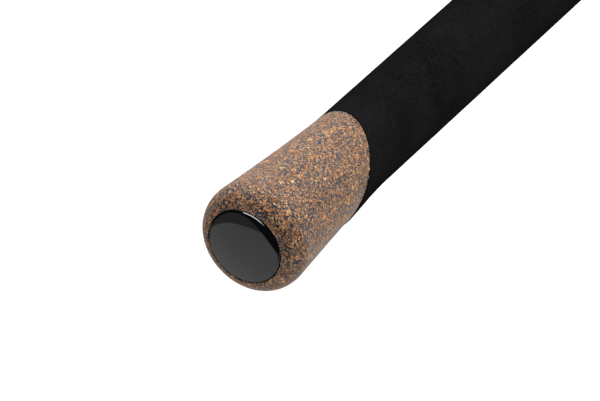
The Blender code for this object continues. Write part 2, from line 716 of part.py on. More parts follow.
def lock_nut():
    """Fluted nut, snapped over the hood's neck and threaded on the barrel."""
    neck_radius = BARREL_RADIUS + HOOD_FIT + NECK_WALL
    socket = neck_radius + GAP
    groove = neck_radius + BEAD_HEIGHT + GAP
    bore = BARREL_RADIUS + THREAD_FIT
    socket_end = NECK_END + GAP
    bead_end = BEAD_START + BEAD_LENGTH
    outside = [
        (0, NUT_RADIUS - 2 * EDGE, 0),
        (EDGE, NUT_RADIUS, NUT_FLUTE_DEPTH),
        (NUT_SHOULDER_X - EDGE, NUT_RADIUS, NUT_FLUTE_DEPTH),
        (NUT_SHOULDER_X, NUT_RADIUS - NUT_FLUTE_DEPTH, 0),
        (NUT_SHOULDER_X, NUT_SHOULDER_RADIUS, 0),
        (NUT_LENGTH, NUT_SHOULDER_RADIUS, 0),
    ]
    inside = [
        (-CUT_PAST, socket),
        (BEAD_START - GAP, socket),
        (BEAD_START - GAP, groove),
        (bead_end + GAP, groove),
        (bead_end + GAP, socket),
        (socket_end, socket),
        (socket_end, bore),
        (NUT_LENGTH + CUT_PAST, bore),
    ]
    body = skin("nut", [fluted_circle(x, radius, depth) for x, radius, depth in outside],
                closed=False)
    body = combined("DIFFERENCE", body, turned("hollow", inside, SEAT_SIDES, closed=False))
    ridge = thread_ridge(
        bore + THREAD_SINK,
        BARREL_RADIUS - THREAD_DEPTH + THREAD_FIT,
        socket_end + THREAD_ROOT_WIDTH / 2 + EDGE / 2,
        NUT_LENGTH - THREAD_ROOT_WIDTH / 2 - EDGE / 2,
        SEAT_X + THREAD_START + THREAD_PITCH / 2 - LOCK_NUT_X,
    )
    return combined("UNION", body, ridge)


def lock_nut_ring():
    bore = NUT_SHOULDER_RADIUS + GAP
    return turned("ring", tube_profile(0, NUT_RING_LENGTH, bore + NUT_RING_WALL, bore), RING_SIDES)


def stop_ring():
    bore = BARREL_RADIUS - THREAD_DEPTH + GAP
    return turned("ring", tube_profile(0, STOP_RING_LENGTH, STOP_RING_RADIUS, bore), RING_SIDES)


def seat_arbor(x):
    """Packing ring between blank and seat."""
    bore = blank_radius(x) + GAP
    outer = SEAT_BORE_RADIUS - GAP
    outline = [(0, outer), (ARBOR_LENGTH, outer), (ARBOR_LENGTH, bore), (0, bore)]
    return turned("arbor", outline, BLANK_SIDES)


def foot_bar(start, end, level, half_width, thickness):
    """Flat foot along the blank, narrowing to a blunt point at its end."""
    loops = []
    middle = between(0.5, start, end)
    for x, share in ((start, 1.0), (middle, 1.0), (end, 0.5)):
        w = half_width * share
        loops.append(
            [
                Vector((x, -w, level)),
                Vector((x, w, level)),
                Vector((x, w, level - thickness)),
                Vector((x, -w, level - thickness)),
            ]
        )
    return skin("foot", loops, closed=False)


def whipping(x, foot_length, half_width, thickness):
    """Thread whipping over a foot on the blank's underside, local x from its open end.

    Past the foot's end it closes down on the blank and runs on for the tail's length.
    """
    inner = blank_radius(x) + GAP
    slot = inner + thickness + GAP
    outer = inner + WHIPPING_WALL
    slot_turn = math.atan((half_width + GAP) / inner)
    inner_shoulder = slot_turn + SLOT_CLOSING
    level = slot + WHIPPING_WALL
    outer_turn = math.atan((slot * math.tan(slot_turn) + WHIPPING_WALL / 2) / level)
    outer_shoulder = slot_turn + math.atan(WHIPPING_WALL / inner) + SHOULDER_SPREAD
    inside = [(0, slot), (slot_turn, slot / math.cos(slot_turn)), (inner_shoulder, inner)]
    corner = level / math.cos(outer_turn)
    outside = [(0, level), (outer_turn, corner), (outer_shoulder, outer)]
    round_steps = WHIPPING_SIDES // 2 - 2
    for step in range(1, round_steps + 1):
        run = step / round_steps
        inside.append((between(run, inner_shoulder, math.pi), inner))
        outside.append((between(run, outer_shoulder, math.pi), outer))
    bare_inside = [(turn, inner) for turn, _ in inside]
    bare_outside = [(turn, outer) for turn, _ in outside]

    def loop(at, half):
        both = half + [(-turn, radius) for turn, radius in reversed(half[1:-1])]
        return [Vector((at, r * math.sin(t), -r * math.cos(t))) for t, r in both]

    slot_end = foot_length + GAP
    end = foot_length + WHIPPING_TAIL
    loops = [
        loop(0, outside),
        loop(slot_end + WHIPPING_WALL, outside),
        loop(end - WHIPPING_WALL, bare_outside),
        loop(end, [(turn, outer - WHIPPING_WALL / 2) for turn, _ in outside]),
        loop(end, bare_inside),
        loop(slot_end + WHIPPING_WALL, bare_inside),
        loop(slot_end, inside),
        loop(0, inside),
    ]
    return skin("whipping", loops)


def ring_sizes(diameter):
    """Rim, insert wall, foot thickness, foot half width, rim width and sides for a ring."""
    if diameter > HEAVY_RING:
        return (HEAVY_RIM, HEAVY_INSERT_WALL, HEAVY_FOOT, HEAVY_FOOT_HALF_WIDTH,
                HEAVY_RIM_WIDTH, HEAVY_RIM_SIDES)
    return (LIGHT_RIM, LIGHT_INSERT_WALL, LIGHT_FOOT, LIGHT_FOOT_HALF_WIDTH,
            LIGHT_RIM_WIDTH, LIGHT_RIM_SIDES)


def guide_rim(diameter):
    rim, _, _, _, width, sides = ring_sizes(diameter)
    radius = diameter / 2
    half = width / 2
    edge = rim / 3
    outline = [
        (-half, radius - edge),
        (0, radius),
        (half, radius - edge),
        (half, radius - rim),
        (-half, radius - rim),
    ]
    return turned("rim", outline, sides)


def guide_insert(diameter):
    """Ceramic ring with a rounded throat."""
    rim, wall, _, _, width, sides = ring_sizes(diameter)
    outer = diameter / 2 - rim - GAP
    inner = outer - wall
    half = width / 2 - INSERT_INSET
    edge = wall / 2
    outline = [
        (-half, outer),
        (half, outer),
        (half, inner + edge),
        (0, inner),
        (-half, inner + edge),
    ]
    return turned("insert", outline, sides)


def guide_frame(x, diameter, height, foot_length, two_feet):
    """Ring rim on two legs that rise from a foot on the butt side, ring plane at x = 0."""
    rim, _, thickness, half_width, _, _ = ring_sizes(diameter)
    level = -(blank_radius(x - height) + GAP)
    centre = ring_centre(x, diameter, height)
    frame = moved(guide_rim(diameter), z=centre)
    reach = LEG_REACH * height
    pieces = [foot_bar(-reach, -reach - foot_length, level, half_width, thickness)]
    root = diameter / 2 - LEG_ROOT_SHARE * rim
    sunk = level - LEG_SUNK_SHARE * thickness
    half_bar = LEG_THICKNESS_SHARE * rim
    half_leg = LEG_WIDTH_SHARE * rim
    for side in (-1, 1):
        top = Vector((0, side * root * math.sin(LEG_ANGLE), centre + root * math.cos(LEG_ANGLE)))
        foot = Vector((-reach - half_width, side * LEG_SPREAD, sunk))
        knee = top.lerp(foot, KNEE_SHARE)
        knee.y *= KNEE_OUT
        pieces.append(bar("leg", [top, knee, foot], half_leg, half_bar))
    if two_feet:
        pieces.append(foot_bar(reach, reach + foot_length, level, half_width, thickness))
        top = Vector((0, 0, centre + root))
        foot = Vector((reach + half_width, 0, sunk))
        pieces.append(bar("brace", [top, foot], half_leg, half_bar))
    return combined("UNION", frame, *pieces)


def ring_centre(x, diameter, height):
    return -(blank_radius(x - height) + height + diameter / 2)


def make_guide(row, x, parent, parent_x):
    """Frame, ceramic ring and whippings of one guide whose ring stands at x."""
    name, _, diameter, height, foot_length, feet = row
    two_feet = feet == 2
    _, _, thickness, half_width, _, _ = ring_sizes(diameter)
    centre = ring_centre(x, diameter, height)
    frame = guide_frame(x, diameter, height, foot_length, two_feet)
    place(name + "_frame", frame, "black_metal", parent, x - parent_x)
    place(name + "_ring", guide_insert(diameter), "ceramic", parent, x - parent_x, centre)
    start = LEG_REACH * height + FOOT_BARE
    covered = foot_length - FOOT_BARE
    rear = turned_back(whipping(x - start - foot_length, covered, half_width, thickness))
    rear_name = "_rear_whipping" if two_feet else "_whipping"
    place(name + rear_name, rear, "thread_wrap", parent, x - start - parent_x)
    if two_feet:
        front = whipping(x + start, covered, half_width, thickness)
        place(name + "_front_whipping", front, "thread_wrap", parent, x + start - parent_x)


def tip_guide_frame():
    """Tube over the blank's tip with the last ring and two side braces, ring plane at x = 0."""
    rim, _, _, _, width, _ = ring_sizes(TIP_RING_DIAMETER)
    bore = BLANK_TIP_RADIUS + GAP
    outer = bore + TIP_TUBE_WALL
    nose_end = -width / 2 + TIP_NOSE_WELD
    tube_end = -width / 2 - TIP_NOSE_LENGTH
    start = tube_end - TIP_TUBE_LENGTH
    outline = [
        (tube_end - TIP_TUBE_WALL, bore),
        (start, bore),
        (start, outer),
        (tube_end, outer),
        (nose_end, TIP_NOSE_RADIUS),
    ]
    tube = turned("tube", outline, WHIPPING_SIDES, closed=False)
    centre = tip_ring_centre()
    frame = moved(guide_rim(TIP_RING_DIAMETER), z=centre)
    root = TIP_RING_DIAMETER / 2 - LEG_ROOT_SHARE * rim
    hold = outer - TIP_TUBE_WALL / 3
    foot_y = hold * math.sin(TIP_BRACE_FOOT_ANGLE)
    foot_z = -hold * math.cos(TIP_BRACE_FOOT_ANGLE)
    pieces = [tube]
    for side in (-1, 1):
        y = side * root * math.sin(TIP_BRACE_ANGLE)
        top = Vector((0, y, centre + root * math.cos(TIP_BRACE_ANGLE)))
        foot = Vector((TIP_BRACE_X, side * foot_y, foot_z))
        pieces.append(bar("brace", [top, foot], TIP_BRACE_HALF_DEPTH, TIP_BRACE_HALF_WIDTH))
    return combined("UNION", frame, *pieces)


def tip_ring_centre():
    rim = ring_sizes(TIP_RING_DIAMETER)[0]
    return -(TIP_RING_DIAMETER / 2 - rim / 2)


def keeper_eye_level():
    return -(blank_radius(KEEPER_X) + GAP + LIGHT_FOOT + KEEPER_EYE_BORE)


def keeper_foot():
    """Foot along the blank with a cross-drilled eye, local origin at the eye's centre."""
    outer = KEEPER_EYE_BORE + KEEPER_EYE_WALL
    half = KEEPER_EYE_WIDTH / 2
    profile = [(-half, outer), (half, outer), (half, KEEPER_EYE_BORE), (-half, KEEPER_EYE_BORE)]
    eye = turned("eye", profile, WHIPPING_SIDES)
    eye.transform(Matrix.Rotation(math.pi / 2, 4, "Z"))
    level = -(blank_radius(KEEPER_X) + GAP) - keeper_eye_level()
    foot = foot_bar(0, KEEPER_FOOT_LENGTH, level, LIGHT_FOOT_HALF_WIDTH, LIGHT_FOOT)
    return combined("UNION", eye, foot)


def keeper_ring():
    """Wire ring through the keeper's eye, local origin at the eye's centre."""
    loops = []
    for step in range(KEEPER_RING_STEPS):
        turn = 2 * math.pi * step / KEEPER_RING_STEPS
        outward = Vector((0, math.sin(turn), math.cos(turn)))
        middle = outward * KEEPER_RING_RADIUS - Vector((0, 0, KEEPER_RING_RADIUS))
        loop = []
        for index in range(KEEPER_WIRE_SIDES):
            angle = 2 * math.pi * index / KEEPER_WIRE_SIDES
            lift = outward * KEEPER_WIRE_RADIUS * math.cos(angle)
            loop.append(middle + lift + Vector((KEEPER_WIRE_RADIUS * math.sin(angle), 0, 0)))
        loops.append(loop)
    return skin("ring", loops)


def make_butt(rod):
    """Cork, badge and the carbon parts that carry the butt section."""
    place("cork_butt", cork_butt(), "rubber_cork", rod)
    place("badge_dome", badge_dome(), "gloss_resin", rod)
    place("badge_disc", badge_disc(), "matte_plastic", rod, BADGE_DISC_X)
    place("rear_grip", rear_grip(), "eva_foam", rod)
    blank = blank_tube(BLANK_START, BUTT_SECTION_END, BUTT_SECTION_END)
    place("butt_blank", blank, "carbon_gloss", rod, BLANK_START)
    plug_radius = blank_bore(BLANK_START + END_PLUG_LENGTH) - GAP
    plug = turned("plug", [(0, plug_radius), (END_PLUG_LENGTH, plug_radius)], BLANK_SIDES,
                  closed=False)
    place("blank_end_plug", plug, "packing", rod, BLANK_START)
    place("spigot", spigot(), "carbon_gloss", rod, BUTT_SECTION_END - SPIGOT_GLUED)
    whip_x = BUTT_SECTION_END - FERRULE_WHIPPING_LENGTH
    whip = plain_whipping(whip_x, FERRULE_WHIPPING_LENGTH)
    place("butt_ferrule_whipping", whip, "thread_wrap", rod, whip_x)


def make_handle(rod):
    """Reel seat and everything between the rear grip and the keeper that stays still."""
    trim_x = REAR_GRIP_END + GAP
    rear_trim = trim_ring(trim_x, TRIM_LENGTH, GRIP_RADIUS - TRIM_STEP)
    place("rear_trim_ring", rear_trim, "gunmetal", rod, trim_x)
    place("reel_seat", reel_seat(), "matte_plastic", rod, SEAT_X)
    shell_x = SEAT_X + FIXED_HOOD_ROOT_X
    place("fixed_hood_shell", hood_shell(), "black_metal", rod, shell_x)
    rear_x = SEAT_X + ARBOR_REAR_X
    front_x = SEAT_X + ARBOR_FRONT_X
    place("seat_arbor_rear", seat_arbor(rear_x), "packing", rod, rear_x)
    place("seat_arbor_front", seat_arbor(front_x), "packing", rod, front_x)
    place("seat_front_ring", stop_ring(), "gunmetal", rod, SEAT_X + STOP_RING_X)
    place("fore_grip", fore_grip(), "eva_foam", rod, FORE_GRIP_X)
    fore_trim = trim_ring(FORE_TRIM_X, FORE_TRIM_LENGTH, FORE_GRIP_NOSE_RADIUS - TRIM_STEP)
    place("fore_trim_ring", fore_trim, "gunmetal", rod, FORE_TRIM_X)
    place("keeper_foot", keeper_foot(), "black_metal", rod, KEEPER_X, keeper_eye_level())
    whip_x = KEEPER_X + KEEPER_EYE_BORE + KEEPER_EYE_WALL + GAP
    covered = KEEPER_X + KEEPER_FOOT_LENGTH - whip_x
    whip = whipping(whip_x, covered, LIGHT_FOOT_HALF_WIDTH, LIGHT_FOOT)
    place("keeper_whipping", whip, "thread_wrap", rod, whip_x)


def make_moving_parts(rod):
    """Hood and nut on the seat's thread, and the keeper's ring."""
    hood_slide = axis_empty("moving_hood_slide", rod, MOVING_HOOD_X)
    place("moving_hood", moving_hood(), "matte_plastic", hood_slide)
    place("moving_hood_shell", turned_about(hood_shell()), "black_metal", hood_slide)
    nut_axis = axis_empty("lock_nut_axis", hood_slide, LOCK_NUT_X - MOVING_HOOD_X)
    place("lock_nut", lock_nut(), "matte_plastic", nut_axis)
    place("lock_nut_ring", lock_nut_ring(), "gunmetal", nut_axis, NUT_SHOULDER_X + GAP)
    keeper_hinge = axis_empty("keeper_hinge", rod, KEEPER_X, keeper_eye_level())
    place("keeper_ring", keeper_ring(), "gunmetal", keeper_hinge)


def make_tip_section(rod):
    """Tip blank with its ferrule whipping, guides and tip guide."""
    slide = axis_empty("tip_section_slide", rod, TIP_SECTION_START)
    blank = blank_tube(TIP_SECTION_START, ROD_TIP, ROD_TIP - TIP_SOLID_LENGTH)
    place("tip_blank", blank, "carbon_gloss", slide)
    whip = plain_whipping(TIP_SECTION_START, FERRULE_WHIPPING_LENGTH)
    place("tip_ferrule_whipping", whip, "thread_wrap", slide)
    for row in TIP_GUIDES:
        make_guide(row, between(row[1], ROD_TIP, TIP_SECTION_START), slide, TIP_SECTION_START)
    width = ring_sizes(TIP_RING_DIAMETER)[4]
    ring_x = TIP_SECTION_LENGTH + GAP + TIP_TUBE_WALL + TIP_NOSE_LENGTH + width / 2
    place("tip_guide_frame", tip_guide_frame(), "black_metal", slide, ring_x)
    insert = guide_insert(TIP_RING_DIAMETER)
    place("tip_guide_ring", insert, "ceramic", slide, ring_x, tip_ring_centre())
    whip_x = ring_x - width / 2 - TIP_NOSE_LENGTH - TIP_TUBE_LENGTH - GAP - TIP_WHIPPING_LENGTH
    tip_whip = plain_whipping(TIP_SECTION_START + whip_x, TIP_WHIPPING_LENGTH)
    place("tip_whipping", tip_whip, "thread_wrap", slide, whip_x)


clear_scene()
rod_axis = axis_empty("rod_axis")
make_butt(rod_axis)
make_handle(rod_axis)
for guide_row in BUTT_GUIDES:
    make_guide(guide_row, between(guide_row[1], KEEPER_X, BUTT_SECTION_END), rod_axis, 0.0)
make_moving_parts(rod_axis)
make_tip_section(rod_axis)
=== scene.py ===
"""Looks of a two-piece waggler rod, dressed piece by piece in the order it is put together.

Lengths are metres in the rod's own frame: the butt end is at the origin, the tip at +X, and the
reel seat's bed and the guides hang on the -Z side.
"""

import json
from collections import namedtuple
from math import acos, asin, atan2, copysign, cos, hypot, pi, radians, sin, sqrt, tan

import bmesh
import bpy
from mathutils import Matrix, Vector, noise


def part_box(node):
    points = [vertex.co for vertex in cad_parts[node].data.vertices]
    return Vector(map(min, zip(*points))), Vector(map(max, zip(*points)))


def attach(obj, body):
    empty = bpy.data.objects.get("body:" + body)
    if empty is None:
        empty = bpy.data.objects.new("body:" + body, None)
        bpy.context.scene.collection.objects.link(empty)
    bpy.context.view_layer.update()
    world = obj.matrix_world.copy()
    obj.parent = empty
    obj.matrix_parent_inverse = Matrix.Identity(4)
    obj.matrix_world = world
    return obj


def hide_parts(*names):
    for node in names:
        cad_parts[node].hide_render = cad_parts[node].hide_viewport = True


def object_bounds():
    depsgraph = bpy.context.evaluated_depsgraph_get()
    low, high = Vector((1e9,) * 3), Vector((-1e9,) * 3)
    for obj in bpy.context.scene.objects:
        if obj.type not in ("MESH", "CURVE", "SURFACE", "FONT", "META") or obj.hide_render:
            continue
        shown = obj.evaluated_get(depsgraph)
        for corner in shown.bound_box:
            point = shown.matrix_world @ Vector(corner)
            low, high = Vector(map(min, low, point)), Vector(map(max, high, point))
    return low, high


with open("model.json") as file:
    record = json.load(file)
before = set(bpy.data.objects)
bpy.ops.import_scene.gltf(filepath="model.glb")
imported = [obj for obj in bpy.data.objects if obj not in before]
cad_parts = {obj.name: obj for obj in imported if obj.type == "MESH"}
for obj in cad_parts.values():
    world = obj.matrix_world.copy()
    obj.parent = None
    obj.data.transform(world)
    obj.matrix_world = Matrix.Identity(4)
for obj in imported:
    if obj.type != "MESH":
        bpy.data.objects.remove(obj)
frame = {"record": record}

solid_box = [list(corner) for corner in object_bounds()]

# Carbon blanks. Each of the two sections is a tube of carbon cloth rolled round a steel mandrel,
# baked, ground smooth and lacquered black, with an even taper from the handle to the tip.


def ends(node):
    """Where a node of the frame starts and ends along the rod."""
    low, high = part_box(node)
    return low.x, high.x


MM = 0.001
BUTT_SECTION_START, BUTT_SECTION_END = ends("butt_blank")
TIP_SECTION_START, TIP_SECTION_END = ends("tip_blank")
HANDLE_TAPER_END = 550 * MM
REAR_RADIUS = 6.0 * MM
HANDLE_RADIUS = 5.25 * MM
JOINT_RADIUS = 3.5 * MM
TIP_RADIUS = 0.9 * MM
BLANK_WALL = 0.8 * MM
REAR_WALL = 1.5 * BLANK_WALL
BLANK_EDGE = 0.2 * MM
TIP_SOLID = 40 * MM  # the tip's last stretch has no bore
WRAP_PITCH = 9.0  # millimetres from one spiral wrap mark to the next
CARBON_BLACK = (0.006, 0.0062, 0.0068, 1.0)
CARBON_FIBRE = (0.02, 0.021, 0.023, 1.0)
ROUND = 64  # sides of a turned piece
FINE = 96  # and of a thick one

behaviour = frame["record"]["behaviour"]
body_of = {node: body for body, members in behaviour["bodies"].items() for node in members}


def between(share, low, high):
    return low + (high - low) * share


def blank_radius(x):
    """Outer radius of the blank at a distance from the butt end."""
    if x <= HANDLE_TAPER_END:
        return between(x / HANDLE_TAPER_END, REAR_RADIUS, HANDLE_RADIUS)
    if x <= BUTT_SECTION_END:
        run = (x - HANDLE_TAPER_END) / (BUTT_SECTION_END - HANDLE_TAPER_END)
        return between(run, HANDLE_RADIUS, JOINT_RADIUS)
    run = max(0.0, (x - TIP_SECTION_START) / (TIP_SECTION_END - TIP_SECTION_START))
    return between(run, JOINT_RADIUS, TIP_RADIUS)


def turns_round(count):
    """Angles of so many equal steps round a circle."""
    return [2 * pi * index / count for index in range(count)]


def round_point(x, radius, turn):
    """Point at a turn round the rod, which is counted from +Y towards +Z."""
    return Vector((x, radius * cos(turn), radius * sin(turn)))


def circle(x, radius, turns):
    return [round_point(x, radius, turn) for turn in turns]


def skin(loops, closed=True):
    """Closed mesh over a row of equal loops, which ends in caps or meets its own start."""
    bm = bmesh.new()
    rows = [[bm.verts.new(point) for point in loop] for loop in loops]
    pairs = list(zip(rows, rows[1:]))
    if closed:
        pairs.append((rows[-1], rows[0]))
    else:
        bm.faces.new(rows[0])
        bm.faces.new(rows[-1])
    for near, far in pairs:
        for index in range(len(near)):
            after = (index + 1) % len(near)
            bm.faces.new((near[index], near[after], far[after], far[index]))
    bmesh.ops.recalc_face_normals(bm, faces=bm.faces)
    if bm.calc_volume(signed=True) < 0:
        bmesh.ops.reverse_faces(bm, faces=bm.faces)
    mesh = bpy.data.meshes.new("skin")
    bm.to_mesh(mesh)
    bm.free()
    return mesh


def lathe(profile, sides=ROUND, closed=True):
    """Turned piece from (x, radius) pairs: a ring round its bore, or a solid bar."""
    return skin([circle(x, radius, turns_round(sides)) for x, radius in profile], closed)


def shifted(mesh, x=0.0, y=0.0, z=0.0):
    mesh.transform(Matrix.Translation((x, y, z)))
    return mesh


def placed(name, data):
    """A new object in the scene."""
    item = bpy.data.objects.new(name, data)
    bpy.context.scene.collection.objects.link(item)
    return item


def new_finish(name):
    """A material with its node tree and its Principled shader."""
    finish = bpy.data.materials.new(name)
    finish.use_nodes = True
    return finish, finish.node_tree, finish.node_tree.nodes["Principled BSDF"]


def feed(tree, node, inputs):
    """Sets a node's inputs, each to a value or to the socket that feeds it."""
    for key, value in inputs.items():
        if isinstance(value, bpy.types.NodeSocket):
            tree.links.new(value, node.inputs[key])
        else:
            node.inputs[key].default_value = value


def add(tree, kind, inputs, **settings):
    """The output sockets of a new node with these settings and inputs."""
    node = tree.nodes.new(kind)
    for key, value in settings.items():
        setattr(node, key, value)
    feed(tree, node, inputs)
    return node.outputs


def millimetres(tree, stretch=(1.0, 1.0, 1.0)):
    """The surface's place in the rod's frame, in millimetres, stretched along the axes."""
    place = add(tree, "ShaderNodeTexCoord", {})["Object"]
    scale = [share / MM for share in stretch]
    return add(tree, "ShaderNodeMapping", {"Vector": place, "Scale": scale})["Vector"]


def grain(tree, per_mm, detail=2.0, roughness=0.5, stretch=(1.0, 1.0, 1.0)):
    """Grey value of a noise with so many grains to the millimetre."""
    inputs = {"Vector": millimetres(tree, stretch), "Scale": per_mm, "Detail": detail,
              "Roughness": roughness}
    return add(tree, "ShaderNodeTexNoise", inputs)["Fac"]


def sums(tree, operation, first, second=0.0, third=0.0):
    return add(tree, "ShaderNodeMath", {0: first, 1: second, 2: third}, operation=operation)[0]


def levels(tree, value, low, high, to_low=0.0, to_high=1.0):
    """Value moved from one range to another, and held inside it."""
    inputs = {"Value": value, "From Min": low, "From Max": high, "To Min": to_low,
              "To Max": to_high}
    return add(tree, "ShaderNodeMapRange", inputs)["Result"]


def blend_colours(tree, share, first, second, how="MIX"):
    return add(tree, "ShaderNodeMix", {0: share, 6: first, 7: second}, data_type="RGBA",
               blend_type=how)[2]


def raise_grain(tree, shader, height, depth, strength=1.0):
    """Fine relief on the shader's normal, with its depth in metres."""
    inputs = {"Height": height, "Distance": depth, "Strength": strength}
    feed(tree, shader, {"Normal": add(tree, "ShaderNodeBump", inputs)["Normal"]})


def dress(mesh, finish, node, crisp=35):
    """Puts a finished mesh in the place of the frame's node, on the same body."""
    name = node + "_finished"
    mesh.name = name
    mesh.materials.clear()
    mesh.materials.append(finish)
    mesh.shade_smooth()
    mesh.set_sharp_from_angle(angle=radians(crisp))
    piece = placed(name, mesh)
    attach(piece, body_of[node])
    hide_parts(node)


def carbon_lacquer():
    """Black lacquer over carbon whose fibres run along the rod, with faint spiral wrap marks."""
    finish, tree, shader = new_finish("carbon_lacquer")
    fibres = levels(tree, grain(tree, 5.0, 4.0, 0.7, stretch=(0.02, 1.0, 1.0)), 0.42, 0.62)
    place = add(tree, "ShaderNodeSeparateXYZ", {0: millimetres(tree)})
    turns = sums(tree, "MULTIPLY", sums(tree, "ARCTAN2", place["Z"], place["Y"]), 1 / (2 * pi))
    spiral = sums(tree, "MULTIPLY_ADD", place["X"], 1 / WRAP_PITCH, turns)
    rib = levels(tree, sums(tree, "PINGPONG", spiral, 0.5), 0.4, 0.5)
    feed(tree, shader, {"Base Color": blend_colours(tree, fibres, CARBON_BLACK, CARBON_FIBRE),
                        "Roughness": levels(tree, grain(tree, 1.4, 5.0), 0.35, 0.7, 0.3, 0.42),
                        "Coat Weight": 1.0, "Coat Roughness": 0.05, "Specular IOR Level": 0.08})
    raise_grain(tree, shader, rib, 0.02 * MM, strength=0.5)
    return finish


def blank_mesh(start, end, bore_end):
    """Tapered tube, bored through, or blind where the bore ends before the tip."""
    stations = [start, end]
    if start < HANDLE_TAPER_END < end:
        stations.insert(1, HANDLE_TAPER_END)
    outer = [(start, blank_radius(start) - BLANK_EDGE)]
    outer += [(max(start + BLANK_EDGE, min(x, end - BLANK_EDGE)), blank_radius(x))
              for x in stations]
    outer += [(end, blank_radius(end) - BLANK_EDGE)]
    if bore_end < end:
        blind = [(bore_end, blank_radius(bore_end) - BLANK_WALL),
                 (start, JOINT_RADIUS - BLANK_WALL)]
        return lathe(blind + outer, closed=False)
    bore = [(end, blank_radius(end) - BLANK_WALL), (start, blank_radius(start) - REAR_WALL)]
    return lathe(outer + bore)


lacquer = carbon_lacquer()
dress(blank_mesh(BUTT_SECTION_START, BUTT_SECTION_END, BUTT_SECTION_END), lacquer, "butt_blank")
dress(blank_mesh(TIP_SECTION_START, TIP_SECTION_END, TIP_SECTION_END - TIP_SOLID), lacquer,
      "tip_blank")

# Spigot and end plug. The spigot is a solid carbon rod, ground to fit both blanks and glued in
# the butt section. The plug is a moulded bung that shuts the blank's rear end under the badge.

SPIGOT_START, SPIGOT_END = ends("spigot")
SPIGOT_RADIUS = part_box("spigot")[1].z
BORE_GAP = 0.3 * MM
SPIGOT_TIP_RADIUS = blank_radius(SPIGOT_END) - BLANK_WALL - BORE_GAP
PLUG_START, PLUG_END = ends("blank_end_plug")
PLUG_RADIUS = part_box("blank_end_plug")[1].y
SPIGOT_EDGE = ((0, 0.4), (1, 0))
PLUG_EDGE = ((0, 0.6), (1, 0))
SPIGOT_GROUND = (0.028, 0.029, 0.031, 1.0)
PLUG_GREY = (0.10, 0.10, 0.105, 1.0)


def eased(x, way, radius, edge):
    """Corner of a turned piece at x, eased over steps of (length, depth) in millimetres.

    way is 1 where the piece starts and -1 where it ends.
    """
    return [(x + way * length * MM, radius - depth * MM) for length, depth in edge][::way]


def grained_finish(name, shades, clouds, texture, gloss, relief=0.0, cloud_range=(0.3, 0.7),
                   texture_range=(0.3, 0.7), **plain):
    """Two shades that drift into each other, with a finer texture in the gloss and the relief.

    clouds and texture are what grain() takes, and gloss is the roughness from low to high.
    """
    finish, tree, shader = new_finish(name)
    drift = levels(tree, grain(tree, *clouds), *cloud_range)
    fine = grain(tree, *texture)
    feed(tree, shader, {"Base Color": blend_colours(tree, drift, *shades),
                        "Roughness": levels(tree, fine, *texture_range, *gloss), **plain})
    if relief:
        raise_grain(tree, shader, fine, relief)
    return finish


def moulded_finish(name, colour, roughness, grains=3.0, relief=0.02 * MM):
    """Spark-textured moulded plastic, a little uneven in shade and gloss."""
    lighter = [1.5 * part for part in colour[:3]] + [1.0]
    return grained_finish(name, (colour, lighter), clouds=(0.15, 3.0),
                          texture=(grains, 4.0, 0.6),
                          gloss=(roughness - 0.07, roughness + 0.07), relief=relief)


# Bare carbon with the fine rings that centreless grinding leaves.
grinding_rings = (7.0, 3.0, 0.5, (1.0, 0.05, 0.05))
ground_carbon = grained_finish("ground_carbon", (SPIGOT_GROUND, CARBON_BLACK),
                               clouds=grinding_rings, texture=grinding_rings,
                               gloss=(0.38, 0.55), relief=0.01 * MM)
dress(lathe(eased(SPIGOT_START, 1, SPIGOT_RADIUS, SPIGOT_EDGE)
            + eased(SPIGOT_END, -1, SPIGOT_TIP_RADIUS, SPIGOT_EDGE), closed=False),
      ground_carbon, "spigot")
dress(lathe([(PLUG_START, PLUG_RADIUS)] + eased(PLUG_END, -1, PLUG_RADIUS, PLUG_EDGE),
            closed=False), moulded_finish("bung_plastic", PLUG_GREY, 0.6), "blank_end_plug")

# Cork butt. Granules of cork are bound with dark rubber, pressed into a block and turned on the
# blank, with a swell, a rounded end and a recess for the badge. Its front is cut on a slant.

CORK_END = 0.9 * MM
END_FACE_RADIUS = 9.35 * MM  # where the rounding would start if there were no recess
END_SKEW = radians(1.0)  # the end was faced a little out of square, its upper side long
END_SKEW_DEPTH = 3 * MM
RECESS_RADIUS = 10.0 * MM
RECESS_OFFSET = Vector((0, 0.44, -0.11)) * MM  # bored a little off the middle
RECESS_FADE = 2 * MM  # the surface follows the offset this far out from the rim
RECESS_RIM = ((1.2, 0, 0), (0.4, 0.02, 0.12), (0.1, 0.08, 0.25))  # depth, widening and chips, mm
RIM_WIDTH = 0.35 * MM
SWELL_RADIUS = 14.25 * MM
END_ROUNDING = 5.9 * MM
ROUNDING_POWER = 2.25
SWELL_X = CORK_END + END_ROUNDING
SWELL_LENGTH = 46.4 * MM
SWELL_POWER = 1.25
GRIP_RADIUS = 11.25 * MM
SLANT_X = 43.2 * MM
SLANT = radians(39)
SEAM_GAP = 0.08 * MM
GRANULE_DEPTH = 0.035 * MM
GRANULES_PER_MM = 1.3
RELIEF_TOP = 0.9  # the most that granule_relief() gives
CORK_COLOURS = ((0.0, (0.40, 0.155, 0.054, 1)), (0.25, (0.60, 0.255, 0.096, 1)),
                (0.5, (0.73, 0.350, 0.143, 1)), (0.8, (0.82, 0.440, 0.198, 1)),
                (1.0, (0.94, 0.610, 0.340, 1)))
RUBBER_COLOURS = ((0.0, (0.007, 0.009, 0.012, 1)), (0.5, (0.033, 0.046, 0.062, 1)),
                  (1.0, (0.088, 0.120, 0.156, 1)))
GRANULE_LAYERS = (  # grains to the millimetre, share of them that are cork, rubber round each
    (2.7, 0.50, 0.10),
    (1.75, 0.67, 0.11),
    (0.95, 0.08, 0.06),
)


def end_skew(z, depth):
    """How far the skewed facing cut moves a point outwards, at a depth from the cork's end."""
    return tan(END_SKEW) * z * max(0.0, 1 - depth / END_SKEW_DEPTH) ** 2


